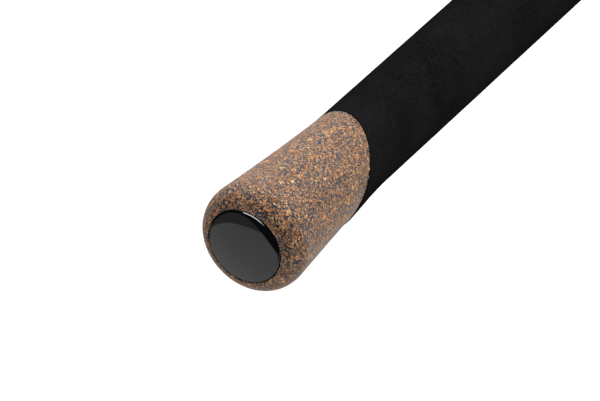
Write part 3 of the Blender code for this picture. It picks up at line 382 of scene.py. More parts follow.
def handle_radius(x):
    """Outer radius of the turned cork and foam at a distance from the butt end."""
    if x <= SWELL_X:
        reach = (SWELL_X - x) / END_ROUNDING
        rise = max(0.0, 1 - reach**ROUNDING_POWER) ** (1 / ROUNDING_POWER)
        return between(rise, END_FACE_RADIUS, SWELL_RADIUS)
    left = max(0.0, 1 - (x - SWELL_X) / SWELL_LENGTH)
    return GRIP_RADIUS + (SWELL_RADIUS - GRIP_RADIUS) * left**SWELL_POWER


def slant_x(z, side):
    """Place of the slanted joint at a height. side is -1 for the cork's face, 1 for the foam's."""
    return SLANT_X + tan(SLANT) * z + side * SEAM_GAP / 2 / cos(SLANT)


def slant_end(turn, side):
    """Where the slanted joint cuts the handle's surface at a turn round the rod."""
    x = SLANT_X
    for _ in range(30):
        x = between(0.5, x, slant_x(handle_radius(x) * sin(turn), side))
    return x


def slant_face(side, radius, turns):
    """Loop of the slanted face at a radius."""
    return [round_point(slant_x(radius * sin(t), side), radius, t) for t in turns]


def granule_relief(point):
    """Height of the cut granules, from about -1, at a point in millimetres."""
    near, next_near = noise.voronoi(point * GRANULES_PER_MM)[0][:2]
    return min(1.0, 3 * (next_near - near)) - 0.6 + 0.5 * noise.noise(point * 3.1)


def cork_mesh(around=288, end_rows=22, body_rows=120):
    turns = turns_round(around)
    bore = blank_radius(CORK_END) + BORE_GAP

    def surface(x, turn):
        radius = handle_radius(x)
        point = round_point(x, radius, turn)
        reach = max(0.0, (SWELL_X - x) / END_ROUNDING)
        outward = round_point(-reach, 1.0, turn).normalized()
        point += outward * GRANULE_DEPTH * (granule_relief(point / MM) - RELIEF_TOP)
        point += RECESS_OFFSET * max(0.0, 1 - (radius - RECESS_RADIUS - RIM_WIDTH) / RECESS_FADE)
        point.x -= end_skew(point.z, x - CORK_END)
        return point

    def recess(x, radius, offset=RECESS_OFFSET, chips=0.0):
        loop = []
        for turn in turns:
            chip = max(0.0, noise.noise(round_point(x, radius, turn) / MM * GRANULES_PER_MM))
            point = round_point(x, radius + chips * chip, turn) + offset
            point.x -= end_skew(point.z, x - CORK_END)
            loop.append(point)
        return loop

    loops = []
    rim_rise = (RECESS_RADIUS + RIM_WIDTH - END_FACE_RADIUS) / (SWELL_RADIUS - END_FACE_RADIUS)
    rim_lean = acos((1 - rim_rise**ROUNDING_POWER) ** (1 / ROUNDING_POWER))
    for step in range(end_rows + 1):
        lean = between(step / end_rows, rim_lean, pi / 2)
        x = CORK_END + END_ROUNDING * (1 - cos(lean))
        loops.append([surface(x, turn) for turn in turns])
    for step in range(1, body_rows + 1):
        share = step / body_rows
        loops.append([surface(between(share, SWELL_X, slant_end(t, -1)), t) for t in turns])
    loops.append(slant_face(-1, bore, turns))
    loops.append(recess(BUTT_SECTION_START, bore, offset=Vector()))
    loops.append(recess(BUTT_SECTION_START, RECESS_RADIUS))
    for depth, wider, chips in RECESS_RIM:
        loops.append(recess(CORK_END + depth * MM, RECESS_RADIUS + wider * MM, chips=chips * MM))
    return skin(loops)


def ramp(tree, value, stops):
    sockets = add(tree, "ShaderNodeValToRGB", {"Fac": value})
    scale = sockets["Color"].node.color_ramp
    while len(scale.elements) < len(stops):
        scale.elements.new(0.5)
    for element, (position, colour) in zip(scale.elements, stops):
        element.position = position
        element.color = colour
    return sockets["Color"]


def granules(tree, at, per_mm, share, edge):
    """Mask and colour of cork grains, so many to the millimetre, that fill a share of the cells."""
    cells = {"Vector": at, "Scale": per_mm}
    shade = add(tree, "ShaderNodeTexVoronoi", cells)["Color"]
    rim = add(tree, "ShaderNodeTexVoronoi", cells, feature="DISTANCE_TO_EDGE")["Distance"]
    chance = add(tree, "ShaderNodeSeparateColor", {0: shade})
    mask = sums(tree, "MULTIPLY", levels(tree, chance[0], 1 - share, 1 - share + 0.02),
                levels(tree, rim, edge, edge + 0.05))
    return mask, ramp(tree, chance[1], CORK_COLOURS)


def cork_finish():
    """Cork granules of three sizes, crisply cut, in slate-black rubber, under a mottle that is
    partly random tone and partly painted light and shade on the tilted faces of the granules.
    """
    finish, tree, shader = new_finish("cork_granules")
    at = millimetres(tree)
    drift = add(tree, "ShaderNodeTexNoise", {"Vector": at, "Scale": 2.0, "Detail": 1.0})["Color"]
    centred = add(tree, "ShaderNodeVectorMath", {0: drift, 1: (0.5, 0.5, 0.5)},
                  operation="SUBTRACT")[0]
    bent = add(tree, "ShaderNodeVectorMath", {0: centred, 1: (0.7, 0.7, 0.7), 2: at},
               operation="MULTIPLY_ADD")[0]
    colour = ramp(tree, levels(tree, grain(tree, 2.0, 3.0, 0.7), 0.3, 0.7), RUBBER_COLOURS)
    cover = 0.0
    for per_mm, share, edge in GRANULE_LAYERS:
        mask, shade = granules(tree, bent, per_mm, share, edge)
        colour = blend_colours(tree, mask, colour, shade)
        cover = sums(tree, "MAXIMUM", cover, mask)
    # Mottle over the whole cork: partly random tone, partly painted light and shade that stands in
    # for granule faces tilted to the light. The same noise raises the relief.
    cells = grain(tree, 2.6, 2.0, 0.7)
    speckle_and_painted_shade = levels(tree, cells, 0.34, 0.66, 0.32, 1.55)
    grey = add(tree, "ShaderNodeCombineColor", {0: speckle_and_painted_shade, 1: speckle_and_painted_shade, 2: speckle_and_painted_shade})[0]
    feed(tree, shader, {"Base Color": blend_colours(tree, 1.0, colour, grey, how="MULTIPLY"),
                        "Roughness": levels(tree, cover, 0.0, 1.0, 0.42, 0.75),
                        "Specular IOR Level": 0.36, "Specular Tint": (0.85, 0.94, 1.0, 1.0)})
    raise_grain(tree, shader, sums(tree, "MULTIPLY_ADD", cells, 0.4, cover), 0.04 * MM, 0.6)
    return finish


dress(cork_mesh(), cork_finish(), "cork_butt", crisp=60)

# Badge. A black disc glued in the cork's recess carries a cast dome of clear-over-black resin,
# poured to the disc's edge, where its own surface tension rounds it off. It is left plain.

BADGE_RADIUS = 9.85 * MM
CROWN_RADIUS = 50 * MM
CROWN_REACH = 9.7 * MM
CROWN_FLAT = 0.02 * MM  # the middle's small flat, since a loop can't be a point
ROLLED_EDGE = 1.15 * MM
DOME_BASE = 1.9 * MM
BADGE_OFFSET = Vector((0, 0.44, -0.05)) * MM
DISC_START, DISC_END = ends("badge_disc")
DISC_EDGE = ((0, 0.1), (0.1, 0))
RESIN_BLACK = (0.0035, 0.0035, 0.0037, 1.0)
RESIN_CLOUD = (0.006, 0.006, 0.0063, 1.0)
DISC_BLACK = (0.012, 0.012, 0.013, 1.0)


def dome_mesh(crown_rows=24, edge_rows=10):
    """Shallow round crown that turns over at the rim, down to the disc."""
    profile = []
    for step in range(crown_rows + 1):
        radius = max(CROWN_FLAT, CROWN_REACH * step / crown_rows)
        profile.append((CROWN_RADIUS - sqrt(CROWN_RADIUS**2 - radius**2), radius))
    crown_edge = profile[-1][0]
    slope = asin(CROWN_REACH / CROWN_RADIUS)
    for step in range(1, edge_rows + 1):
        turn = between(step / edge_rows, slope, pi / 2)
        share = (sin(turn) - sin(slope)) / (1 - sin(slope))
        drop = (cos(slope) - cos(turn)) / cos(slope)
        profile.append((between(drop, crown_edge, ROLLED_EDGE),
                        between(share, CROWN_REACH, BADGE_RADIUS)))
    profile.append((DOME_BASE, BADGE_RADIUS))
    dome = lathe(profile, sides=128, closed=False)
    settle = CROWN_RADIUS * (1 / cos(END_SKEW) - 1)
    for point in dome.vertices:
        raised = 1 - point.co.x / DOME_BASE
        point.co.x += 2 * settle * raised - tan(END_SKEW) * point.co.z * min(1.0, 4 * raised)
    return shifted(dome, *BADGE_OFFSET)


# Black resin polished by its own pouring, with a breath of dust.
resin = grained_finish("gloss_resin", (RESIN_BLACK, RESIN_CLOUD), clouds=(0.25, 2.0),
                       texture=(2.2, 6.0, 0.75), texture_range=(0.5, 0.8), gloss=(0.02, 0.06),
                       IOR=1.46)
dress(dome_mesh(), resin, "badge_dome", crisp=50)
disc = lathe(eased(DISC_START, 1, BADGE_RADIUS, DISC_EDGE)
             + eased(DISC_END, -1, BADGE_RADIUS, DISC_EDGE), sides=FINE, closed=False)
dress(shifted(disc, *BADGE_OFFSET), moulded_finish("disc_plastic", DISC_BLACK, 0.5),
      "badge_disc")

# Rear grip and its trim ring. The grip is black closed-cell foam, pushed on the blank and ground
# flush with the cork. A turned aluminium ring covers its front end, against the reel seat.

GRIP_END = ends("rear_grip")[1]
EVEN_X = 70 * MM  # from here on the grip's rows stand square to the rod
PROUD = 0.08 * MM  # the foam stands this much over the cork
FEATHER_PROUD = 0.25 * MM
FEATHER_START = 38 * MM
FEATHER_END = 50 * MM
FOAM_RELIEF = 0.02 * MM
FOAM_LUMPS = (1.7, 0.35)  # to the millimetre
FOAM_EDGE_RUN = 1 * MM
FOAM_EDGE = ((0.3, 0.25), (0, 0.9))  # length and depth in millimetres, like the next two
GROOVE = ((-0.25, 0), (-0.1, 0.2), (0.1, 0.2), (0.25, 0))
RING_EDGE = ((0, 0.35), (0.1, 0.12), (0.35, 0))
FOAM_BLACK = (0.0067, 0.0067, 0.0068, 1.0)
FOAM_DUST = (0.0133, 0.0133, 0.0135, 1.0)
FOAM_NAP = (0.0233, 0.0233, 0.0236, 1.0)
FOAM_SPECK = (0.045, 0.045, 0.045, 1.0)
GUNMETAL = (0.20, 0.20, 0.215, 1.0)
GUNMETAL_DARK = (0.14, 0.14, 0.1505, 1.0)
METAL_RELIEF = 0.006 * MM


def foam_radius(x):
    """Foam stands a little proud of the cork, the more so where it feathers out."""
    feather = (x - FEATHER_START) / (FEATHER_END - FEATHER_START)
    return handle_radius(x) + max(PROUD, min(FEATHER_PROUD, between(feather, FEATHER_PROUD, 0.0)))


def foam_skin(turns, x_of, radius_of, rows):
    """Rows of foam surface points, from share 0 to 1 of the way that x_of gives at each turn."""
    loops = []
    for step in range(rows + 1):
        loop = []
        for turn in turns:
            x = x_of(turn, step / rows)
            spot = round_point(x, GRIP_RADIUS, turn) / MM
            rise = sum(noise.noise(spot * lumps) for lumps in FOAM_LUMPS)
            loop.append(round_point(x, radius_of(x) + FOAM_RELIEF * rise, turn))
        loops.append(loop)
    return loops


def grip_edge(x, way, bore, turns):
    """Rounded end of a grip, from its surface down to its bore. way points into the grip."""
    corner = [circle(x + way * length * MM, GRIP_RADIUS - depth * MM, turns)
              for length, depth in FOAM_EDGE]
    return corner + [circle(x, bore, turns)]


def rear_grip_mesh(around=144):
    turns = turns_round(around)
    bore = blank_radius(SLANT_X) + BORE_GAP
    edge_x = GRIP_END - FOAM_EDGE_RUN
    loops = foam_skin(turns, lambda t, s: between(s, slant_end(t, 1), EVEN_X), foam_radius, 56)
    loops += foam_skin(turns, lambda t, s: between(s, EVEN_X, edge_x), foam_radius, 90)[1:]
    loops += grip_edge(GRIP_END, -1, bore, turns)
    return skin(loops + [slant_face(1, bore, turns)])


def foam_finish():
    """Ground black foam: soft, dull and finely pitted, with a few pale specks of dust."""
    finish, tree, shader = new_finish("ground_foam")
    cloud = levels(tree, grain(tree, 0.06, 3.0, 0.6), 0.35, 0.65)
    shade = blend_colours(tree, cloud, FOAM_BLACK, FOAM_DUST)
    cells = add(tree, "ShaderNodeTexVoronoi", {"Vector": millimetres(tree), "Scale": 1.6})
    chance = add(tree, "ShaderNodeSeparateColor", {0: cells["Color"]})[0]
    speck = sums(tree, "MULTIPLY", levels(tree, chance, 0.972, 0.975),
                 levels(tree, cells["Distance"], 0.16, 0.24, 1, 0))
    shade = blend_colours(tree, speck, shade, FOAM_SPECK)
    nap = levels(tree, grain(tree, 2.4, 3.0, 0.75), 0.46, 0.70)
    pits = grain(tree, 7.0, 3.0, 0.7)
    feed(tree, shader, {"Base Color": blend_colours(tree, nap, shade, FOAM_NAP),
                        "Roughness": levels(tree, pits, 0.3, 0.7, 0.82, 0.95),
                        "Specular IOR Level": 0.0})
    raise_grain(tree, shader, pits, 0.06 * MM, 0.8)
    return finish


def ring_mesh(node, bore, grooves=()):
    """Turned ring over the node's length, rounded at its edges, with grooves cut round it."""
    start, end = ends(node)
    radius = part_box(node)[1].y
    profile = [(start, bore)] + eased(start, 1, radius, RING_EDGE)
    for share in grooves:
        middle = between(share, start, end)
        profile += [(middle + x * MM, radius - depth * MM) for x, depth in GROOVE]
    profile += eased(end, -1, radius, RING_EDGE)
    return lathe(profile + [(end, bore)], sides=FINE)


foam = foam_finish()
# Anodised aluminium with the fine rings of the lathe tool.
gunmetal = grained_finish("gunmetal_anodised", (GUNMETAL, GUNMETAL_DARK), clouds=(0.4, 3.0),
                          texture=(9.0, 4.0, 0.7, (1.0, 0.04, 0.04)), gloss=(0.24, 0.38),
                          relief=METAL_RELIEF, Metallic=1.0)
dress(rear_grip_mesh(), foam, "rear_grip", crisp=60)
dress(ring_mesh("rear_trim_ring", blank_radius(GRIP_END) + BORE_GAP), gunmetal, "rear_trim_ring")

# Reel seat. A graphite-filled nylon moulding, glued on two packing rings, with a flat bed for the
# reel's foot, a fixed hood behind it under a thin metal skin, and a coarse thread in front.

SEAT_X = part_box("reel_seat")[0].x
SEAT_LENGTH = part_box("reel_seat")[1].x - SEAT_X
SEAT_BORE_RADIUS = 7.4 * MM
BARREL_RADIUS = 9.8 * MM
COLLAR_RADIUS = 11.6 * MM
COLLAR_LENGTH = 8 * MM
COLLAR_EDGE = ((0, 0.5), (0.15, 0.15), (0.5, 0))
BARREL_EDGE = ((0, 0.3), (0.3, 0))
BED_DEPTH = 8.4 * MM
THREAD_START = 74 * MM
THREAD_END = 102 * MM
THREAD_PITCH = 3.5 * MM
THREAD_DEPTH = 0.9 * MM
THREAD_ROOT_HALF = 1.0 * MM
THREAD_CREST_HALF = 0.6 * MM
THREAD_SUNK = 0.4 * MM  # how far a ridge's root reaches into its wall
THREAD_RUN_IN = 2 * MM  # plain root left at each end of the thread
THREAD_CLEAR = 0.5 * MM  # margin at both ends of the thread
HOOD_ROOT_X = 6 * MM
HOOD_LENGTH = 19 * MM
HOOD_HALF_WIDTH = 10.9 * MM
HOOD_TOP = -1.0 * MM
HOOD_ROOT_BOTTOM = -13.0 * MM
HOOD_MOUTH_BOTTOM = -14.6 * MM
HOOD_SQUARENESS = 3.0  # 2 is an ellipse
HOOD_EASE = 0.15 * MM
POCKET_DEPTH = 15.2 * MM
POCKET_HALF_WIDTH = 7.6 * MM
POCKET_BLIND_HEIGHT = 4.4 * MM
POCKET_MOUTH_HEIGHT = 5.2 * MM
POCKET_SQUARENESS = 4.0
MOUTH_CUT_BACK = 10 * MM
MOUTH_LIP = -BED_DEPTH - 0.4 * MM
SHELL_TOP = -5.0 * MM
SHELL_GAP = 0.3 * MM
SHELL_THICKNESS = 0.6 * MM
SHELL_EASE = 0.2 * MM
PAST = 2 * MM  # how far a cutter runs past what it cuts
NYLON_BLACK = (0.014, 0.014, 0.015, 1.0)
SKIN_BLACK = (0.035, 0.035, 0.038, 1.0)
SKIN_LIGHT = (0.055, 0.055, 0.06, 1.0)
PACKING_TAN = (0.42, 0.33, 0.22, 1.0)


def flat_faced(mesh):
    """A bent four-sided face can't be cut cleanly, so every face becomes triangles."""
    bm = bmesh.new()
    bm.from_mesh(mesh)
    bmesh.ops.triangulate(bm, faces=bm.faces)
    bm.to_mesh(mesh)
    bm.free()
    return mesh


def combined(operation, base, *others):
    """Join or cut closed meshes and give back the result as one mesh."""
    body = placed("working_body", flat_faced(base))
    helpers = [placed("working_tool", flat_faced(other)) for other in others]
    for helper in helpers:
        step = body.modifiers.new("step", "BOOLEAN")
        step.operation = operation
        step.solver = "EXACT"
        step.object = helper
    depsgraph = bpy.context.evaluated_depsgraph_get()
    result = bpy.data.meshes.new_from_object(body.evaluated_get(depsgraph))
    for item in [body] + helpers:
        bpy.data.objects.remove(item, do_unlink=True)
    return result


def block(low, high):
    corners = ((low[1], low[2]), (high[1], low[2]), (high[1], high[2]), (low[1], high[2]))
    return skin([[Vector((x, y, z)) for y, z in corners] for x in (low[0], high[0])], closed=False)


def hood_section(x, half_width, top, bottom, squareness, steps=36):
    """Level-topped cross-section that hangs below the barrel like a squared half ellipse."""
    points = []
    for step in range(steps + 1):
        turn = pi * step / steps
        y = half_width * copysign(abs(cos(turn)) ** (2 / squareness), cos(turn))
        fall = max(0.0, sin(turn)) ** (2 / squareness)
        points.append(Vector((x, y, between(fall, top, bottom))))
    return points


def hood_form(top, offset, root=0.0, past=0.0, ease=0.0, stations=12):
    """Outer form of a hood, grown by an offset, from its root to its mouth or past it."""
    loops = []
    for step in range(stations):
        x = between(step / (stations - 1), root, HOOD_LENGTH + past)
        rise = sin(pi / 2 * min(1.0, max(0.0, x / HOOD_LENGTH)))
        bottom = between(rise, HOOD_ROOT_BOTTOM, HOOD_MOUTH_BOTTOM) - offset
        tuck = ease if step in (0, stations - 1) else 0.0
        loops.append(hood_section(x, HOOD_HALF_WIDTH + offset - tuck, top, bottom + tuck,
                                  HOOD_SQUARENESS))
    return skin(loops, closed=False)


def hood_pocket():
    """Space for the reel's foot, from its blind end out through the mouth."""
    blind = HOOD_LENGTH - POCKET_DEPTH
    slope = (POCKET_MOUTH_HEIGHT - POCKET_BLIND_HEIGHT) / POCKET_DEPTH
    loops = []
    for x in (blind, HOOD_LENGTH + PAST):
        bottom = -BED_DEPTH - POCKET_BLIND_HEIGHT - slope * (x - blind)
        loops.append(hood_section(x, POCKET_HALF_WIDTH, -BED_DEPTH, bottom,
                                  POCKET_SQUARENESS))
    return skin(loops, closed=False)


def mouth_cut():
    """Wedge that slants the sides of a hood's mouth back from its lip."""
    outline = ((HOOD_LENGTH + PAST, MOUTH_LIP), (HOOD_LENGTH, MOUTH_LIP),
               (HOOD_LENGTH - MOUTH_CUT_BACK, HOOD_TOP + PAST),
               (HOOD_LENGTH + PAST, HOOD_TOP + PAST))
    reach = 2 * COLLAR_RADIUS
    return skin([[Vector((x, y, z)) for x, z in outline] for y in (-reach, reach)], closed=False)


def hood_shell():
    """Thin pressed metal skin over a hood, open above."""
    outer = hood_form(SHELL_TOP, SHELL_GAP + SHELL_THICKNESS, ease=SHELL_EASE)
    inner = hood_form(SHELL_TOP + PAST, SHELL_GAP, root=-PAST, past=PAST)
    return combined("DIFFERENCE", outer, inner, mouth_cut())


def turned_about(mesh):
    """The same hood mesh with its mouth at x = 0, towards the butt."""
    mesh.transform(Matrix.Diagonal((-1, 1, 1, 1)))
    mesh.flip_normals()
    return shifted(mesh, HOOD_LENGTH)


def thread_ridge(sunk, crest, start, end, zero_x, steps_per_turn=48):
    """Right-handed ridge with an eased crest, its turn counted from zero_x."""
    flank = ((THREAD_ROOT_HALF, sunk),
             (between(0.85, THREAD_ROOT_HALF, THREAD_CREST_HALF), between(0.2, crest, sunk)),
             (0.75 * THREAD_CREST_HALF, crest))
    corners = [(-dx, radius) for dx, radius in flank] + list(reversed(flank))
    loops = []
    for step in range(round(steps_per_turn * (end - start) / THREAD_PITCH) + 1):
        middle = start + THREAD_PITCH * step / steps_per_turn
        turn = 2 * pi * (middle - zero_x) / THREAD_PITCH
        loops.append([round_point(middle + dx, radius, turn) for dx, radius in corners])
    return skin(loops, closed=False)


def reel_seat_mesh():
    root = BARREL_RADIUS - THREAD_DEPTH
    step_x = THREAD_START - THREAD_CLEAR
    profile = eased(0, 1, COLLAR_RADIUS, COLLAR_EDGE)
    profile += eased(COLLAR_LENGTH, -1, COLLAR_RADIUS, COLLAR_EDGE)
    profile += [(COLLAR_LENGTH, BARREL_RADIUS), (step_x, BARREL_RADIUS),
                (step_x + THREAD_DEPTH, root)]
    profile += eased(SEAT_LENGTH, -1, root, BARREL_EDGE)
    ridge = thread_ridge(root - THREAD_SUNK, BARREL_RADIUS, THREAD_START + THREAD_RUN_IN,
                         THREAD_END - THREAD_RUN_IN, THREAD_START)
    barrel = combined("UNION", lathe(profile, sides=FINE, closed=False), ridge)
    reach = 2 * COLLAR_RADIUS
    bed_cut = block((COLLAR_LENGTH, -reach, -reach), (THREAD_END + THREAD_CLEAR, reach, -BED_DEPTH))
    hood = combined("DIFFERENCE", hood_form(HOOD_TOP, 0.0, ease=HOOD_EASE), mouth_cut())
    barrel = combined("DIFFERENCE", barrel, bed_cut)
    barrel = combined("UNION", barrel, shifted(hood, HOOD_ROOT_X))
    bore = lathe([(-MM, SEAT_BORE_RADIUS), (SEAT_LENGTH + MM, SEAT_BORE_RADIUS)], closed=False)
    seat = combined("DIFFERENCE", barrel, bore, shifted(hood_pocket(), HOOD_ROOT_X))
    return shifted(seat, SEAT_X)


nylon = moulded_finish("graphite_nylon", NYLON_BLACK, 0.45)
# Black anodised sheet with short scratches along the rod.
hood_skin = grained_finish("black_anodised_skin", (SKIN_BLACK, SKIN_LIGHT), clouds=(0.2, 3.0),
                           texture=(6.0, 4.0, 0.7, (0.08, 1.0, 1.0)), gloss=(0.24, 0.4),
                           relief=METAL_RELIEF, Metallic=1.0)
packing = moulded_finish("packing_tape", PACKING_TAN, 0.85, grains=1.2, relief=0.06 * MM)
dress(reel_seat_mesh(), nylon, "reel_seat")
dress(shifted(hood_shell(), SEAT_X + HOOD_ROOT_X), hood_skin, "fixed_hood_shell")
for arbor in ("seat_arbor_rear", "seat_arbor_front"):
    start, end = ends(arbor)
    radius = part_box(arbor)[1].y
    bore = blank_radius(start) + BORE_GAP
    dress(lathe([(start, bore), (start, radius), (end, radius), (end, bore)]), packing, arbor)

# Moving hood. The same moulding as the fixed one on a sleeve that slides over the thread, keyed
# to the bed so that it can't turn, with a beaded neck that the lock nut snaps over.

MOVING_HOOD_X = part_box("moving_hood")[0].x
SLEEVE_LENGTH = 8 * MM
SLEEVE_BORE = BARREL_RADIUS + BORE_GAP
SLEEVE_EDGE = ((0, 0.2), (0.2, 0))
NECK_WALL = 1.0 * MM
NECK_RADIUS = SLEEVE_BORE + NECK_WALL
NECK_END = 24.9 * MM
NECK_EASE = 0.1 * MM
BEAD = ((22.8, 0), (23.0, 0.6), (23.6, 0.6), (24.0, 0))  # place and height, in millimetres
BEAD_HEIGHT = max(height for x, height in BEAD) * MM
HOOD_BACK = 0.5 * MM  # the hood's root ends this far behind the sleeve's front edge


def moving_hood_mesh():
    profile = eased(HOOD_LENGTH - SLEEVE_LENGTH, 1, COLLAR_RADIUS, COLLAR_EDGE)
    profile += eased(HOOD_LENGTH, -1, COLLAR_RADIUS, SLEEVE_EDGE)
    profile += [(HOOD_LENGTH, NECK_RADIUS)]
    profile += [(x * MM, NECK_RADIUS + height * MM) for x, height in BEAD]
    profile += [(NECK_END, NECK_RADIUS - NECK_EASE)]
    hood = combined("DIFFERENCE", hood_form(HOOD_TOP, 0.0, root=HOOD_BACK, ease=HOOD_EASE),
                    mouth_cut())
    body = combined("UNION", turned_about(hood), lathe(profile, sides=FINE, closed=False))
    bore = lathe([(-MM, SLEEVE_BORE), (2 * HOOD_LENGTH, SLEEVE_BORE)], sides=FINE, closed=False)
    reach = 2 * COLLAR_RADIUS
    above_key = block((-PAST, -reach, -BED_DEPTH - BORE_GAP), (3 * HOOD_LENGTH, reach, reach))
    keyed_bore = combined("INTERSECT", bore, above_key)
    body = combined("DIFFERENCE", body, keyed_bore, turned_about(hood_pocket()))
    return shifted(body, MOVING_HOOD_X)


dress(moving_hood_mesh(), nylon, "moving_hood")
dress(shifted(turned_about(hood_shell()), MOVING_HOOD_X), hood_skin, "moving_hood_shell")

# Lock nut with its ring, and the stop ring. The nut is moulded nylon, fluted for the fingers,
# with the barrel's thread inside; two turned rings dress its front edge and the seat's end.

NUT_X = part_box("lock_nut")[0].x
NUT_LENGTH = 16 * MM
NUT_RADIUS = 13.4 * MM
NUT_FLUTES = 12
FLUTE_POINTS = 14
FLUTE_POWER = 1.6
FLUTE_DEPTH = 0.5 * MM
NUT_REAR = ((0, 1.1, 0), (0.15, 0.7, 0), (0.6, 0.15, 0.3), (1.2, 0, 1))  # length, depth, fluting
NUT_FRONT = ((-1.2, 0, 1), (-0.5, 0.1, 0.5), (0, 0.5, 0))
SHOULDER_X = 12.6 * MM
SHOULDER_RADIUS = 12.2 * MM
SOCKET_END = NECK_END - HOOD_LENGTH
GROOVE_START = 3.2 * MM
GROOVE_END = 5.0 * MM
THREAD_GAP = 0.4 * MM
NUT_RUN_IN = 1.25 * MM


def fluted_ring(x, radius, depth=0.0):
    points = []
    for turn in turns_round(FLUTE_POINTS * NUT_FLUTES):
        hollow = ((1 - cos(NUT_FLUTES * turn)) / 2) ** FLUTE_POWER
        points.append(round_point(x, radius - depth * hollow, turn))
    return points


def lock_nut_mesh():
    rows = [(0, *corner) for corner in NUT_REAR] + [(SHOULDER_X, *corner) for corner in NUT_FRONT]
    loops = [fluted_ring(x + length * MM, NUT_RADIUS - depth * MM, fluting * FLUTE_DEPTH)
             for x, length, depth, fluting in rows]
    loops += [fluted_ring(SHOULDER_X, SHOULDER_RADIUS)]
    front = eased(NUT_LENGTH, -1, SHOULDER_RADIUS, SLEEVE_EDGE)
    loops += [fluted_ring(*corner) for corner in front]
    socket = NECK_RADIUS + BORE_GAP
    groove = NECK_RADIUS + BEAD_HEIGHT + BORE_GAP
    thread_bore = BARREL_RADIUS + THREAD_GAP
    hollow = [(-PAST, socket), (GROOVE_START, socket), (GROOVE_START, groove),
              (GROOVE_END, groove), (GROOVE_END, socket), (SOCKET_END, socket),
              (SOCKET_END, thread_bore), (NUT_LENGTH + PAST, thread_bore)]
    body = combined("DIFFERENCE", skin(loops, closed=False),
                    lathe(hollow, sides=FINE, closed=False))
    zero_x = SEAT_X + THREAD_START + THREAD_PITCH / 2 - NUT_X
    ridge = thread_ridge(thread_bore + THREAD_SUNK, BARREL_RADIUS - THREAD_DEPTH + THREAD_GAP,
                         SOCKET_END + NUT_RUN_IN, NUT_LENGTH - NUT_RUN_IN, zero_x)
    return shifted(combined("UNION", body, ridge), NUT_X)


dress(lock_nut_mesh(), nylon, "lock_nut")
dress(ring_mesh("lock_nut_ring", SHOULDER_RADIUS + BORE_GAP, grooves=(0.5,)), gunmetal,
      "lock_nut_ring")
dress(ring_mesh("seat_front_ring", BARREL_RADIUS - THREAD_DEPTH + BORE_GAP, grooves=(0.3, 0.7)),
      gunmetal, "seat_front_ring")

# Fore grip and its trim ring. A short grip of the same foam, ground down to the blank in an easy
# curve, closed off by a small turned ring.

FORE_GRIP_START, FORE_GRIP_END = ends("fore_grip")
NOSE_RADIUS = 7.7 * MM


def fore_radius(x):
    run = (x - FORE_GRIP_START) / (FORE_GRIP_END - FORE_GRIP_START)
    return between((1 - cos(pi * run)) / 2, GRIP_RADIUS, NOSE_RADIUS)


def fore_grip_mesh(around=128):
    turns = turns_round(around)
    bore = blank_radius(FORE_GRIP_START) + BORE_GAP
    start = FORE_GRIP_START + FOAM_EDGE_RUN
    loops = grip_edge(FORE_GRIP_START, 1, bore, turns)[::-1]
    loops += foam_skin(turns, lambda t, s: between(s, start, FORE_GRIP_END), fore_radius, 48)
    return skin(loops + [circle(FORE_GRIP_END, bore, turns)])


dress(fore_grip_mesh(), foam, "fore_grip", crisp=60)
dress(ring_mesh("fore_trim_ring", blank_radius(FORE_GRIP_END) + BORE_GAP, grooves=(0.5,)),
      gunmetal, "fore_trim_ring")

# Whippings. Nylon thread is wound side by side over each guide's foot, under tension, and coated
# with clear resin that levels out to a gloss and feathers down on the blank.

THREAD_WALL = 0.4 * MM
HUG = 0.01 * MM  # the thread lies tight on the blank
FOOT_GAP = 0.3 * MM
FOOT_HUG = 0.05 * MM
WHIP_EASE = 0.5 * MM
WHIP_SLOPE = 1.2 * MM
FEATHER = ((0, 0), (0.1, 0.2), (0.35, 0.55), (0.8, 0.85), (1.4, 1))  # mm in, share of the rise
THREADS_PER_MM = 4.0
THREAD_BLACK = (0.008, 0.008, 0.009, 1.0)
# colour of the highlight painted along each turn of the whipping thread
THREAD_PAINTED_GLINT = (0.022, 0.022, 0.025, 1.0)


def whipping_finish():
    """Black thread, lying turn beside turn, seen through a gloss coat, with a painted highlight
    along the middle of each turn that the strands break up.
    """
    finish, tree, shader = new_finish("whipped_thread")
    x = add(tree, "ShaderNodeSeparateXYZ", {0: millimetres(tree)})["X"]
    lay = sums(tree, "PINGPONG", sums(tree, "MULTIPLY", x, 2 * THREADS_PER_MM), 1)
    strands = grain(tree, 1.0, 3.0, stretch=(4.0, 0.4, 0.4))
    # Painted highlight: each turn of thread is painted lighter along its middle, where a round
    # thread would catch the light, and broken up by the strand noise.
    painted_glint = sums(tree, "MULTIPLY", lay, levels(tree, strands, 0.35, 0.65, 0.4, 1.0))
    feed(tree, shader, {"Base Color": blend_colours(tree, painted_glint, THREAD_BLACK, THREAD_PAINTED_GLINT),
                        "Roughness": levels(tree, strands, 0.3, 0.7, 0.35, 0.5),
                        "Coat Weight": 1.0, "Coat Roughness": 0.04, "Specular IOR Level": 0.15})
    raise_grain(tree, shader, lay, 0.02 * MM, 0.6)
    return finish


def wrap_outline(radius, level, half_width, points=48):
    """Radii round the blank of thread pulled taut over a foot, the foot being at turn 0."""
    corner_turn = atan2(half_width, level)
    corner = hypot(half_width, level)
    lean = corner_turn + acos(min(1.0, radius / corner))
    outline = []
    for angle in turns_round(points):
        turn = abs((angle + pi) % (2 * pi) - pi)
        if turn < corner_turn:
            outline.append(level / cos(turn))
        elif turn < lean:
            outline.append(radius / cos(turn - lean))
        else:
            outline.append(radius)
    return outline


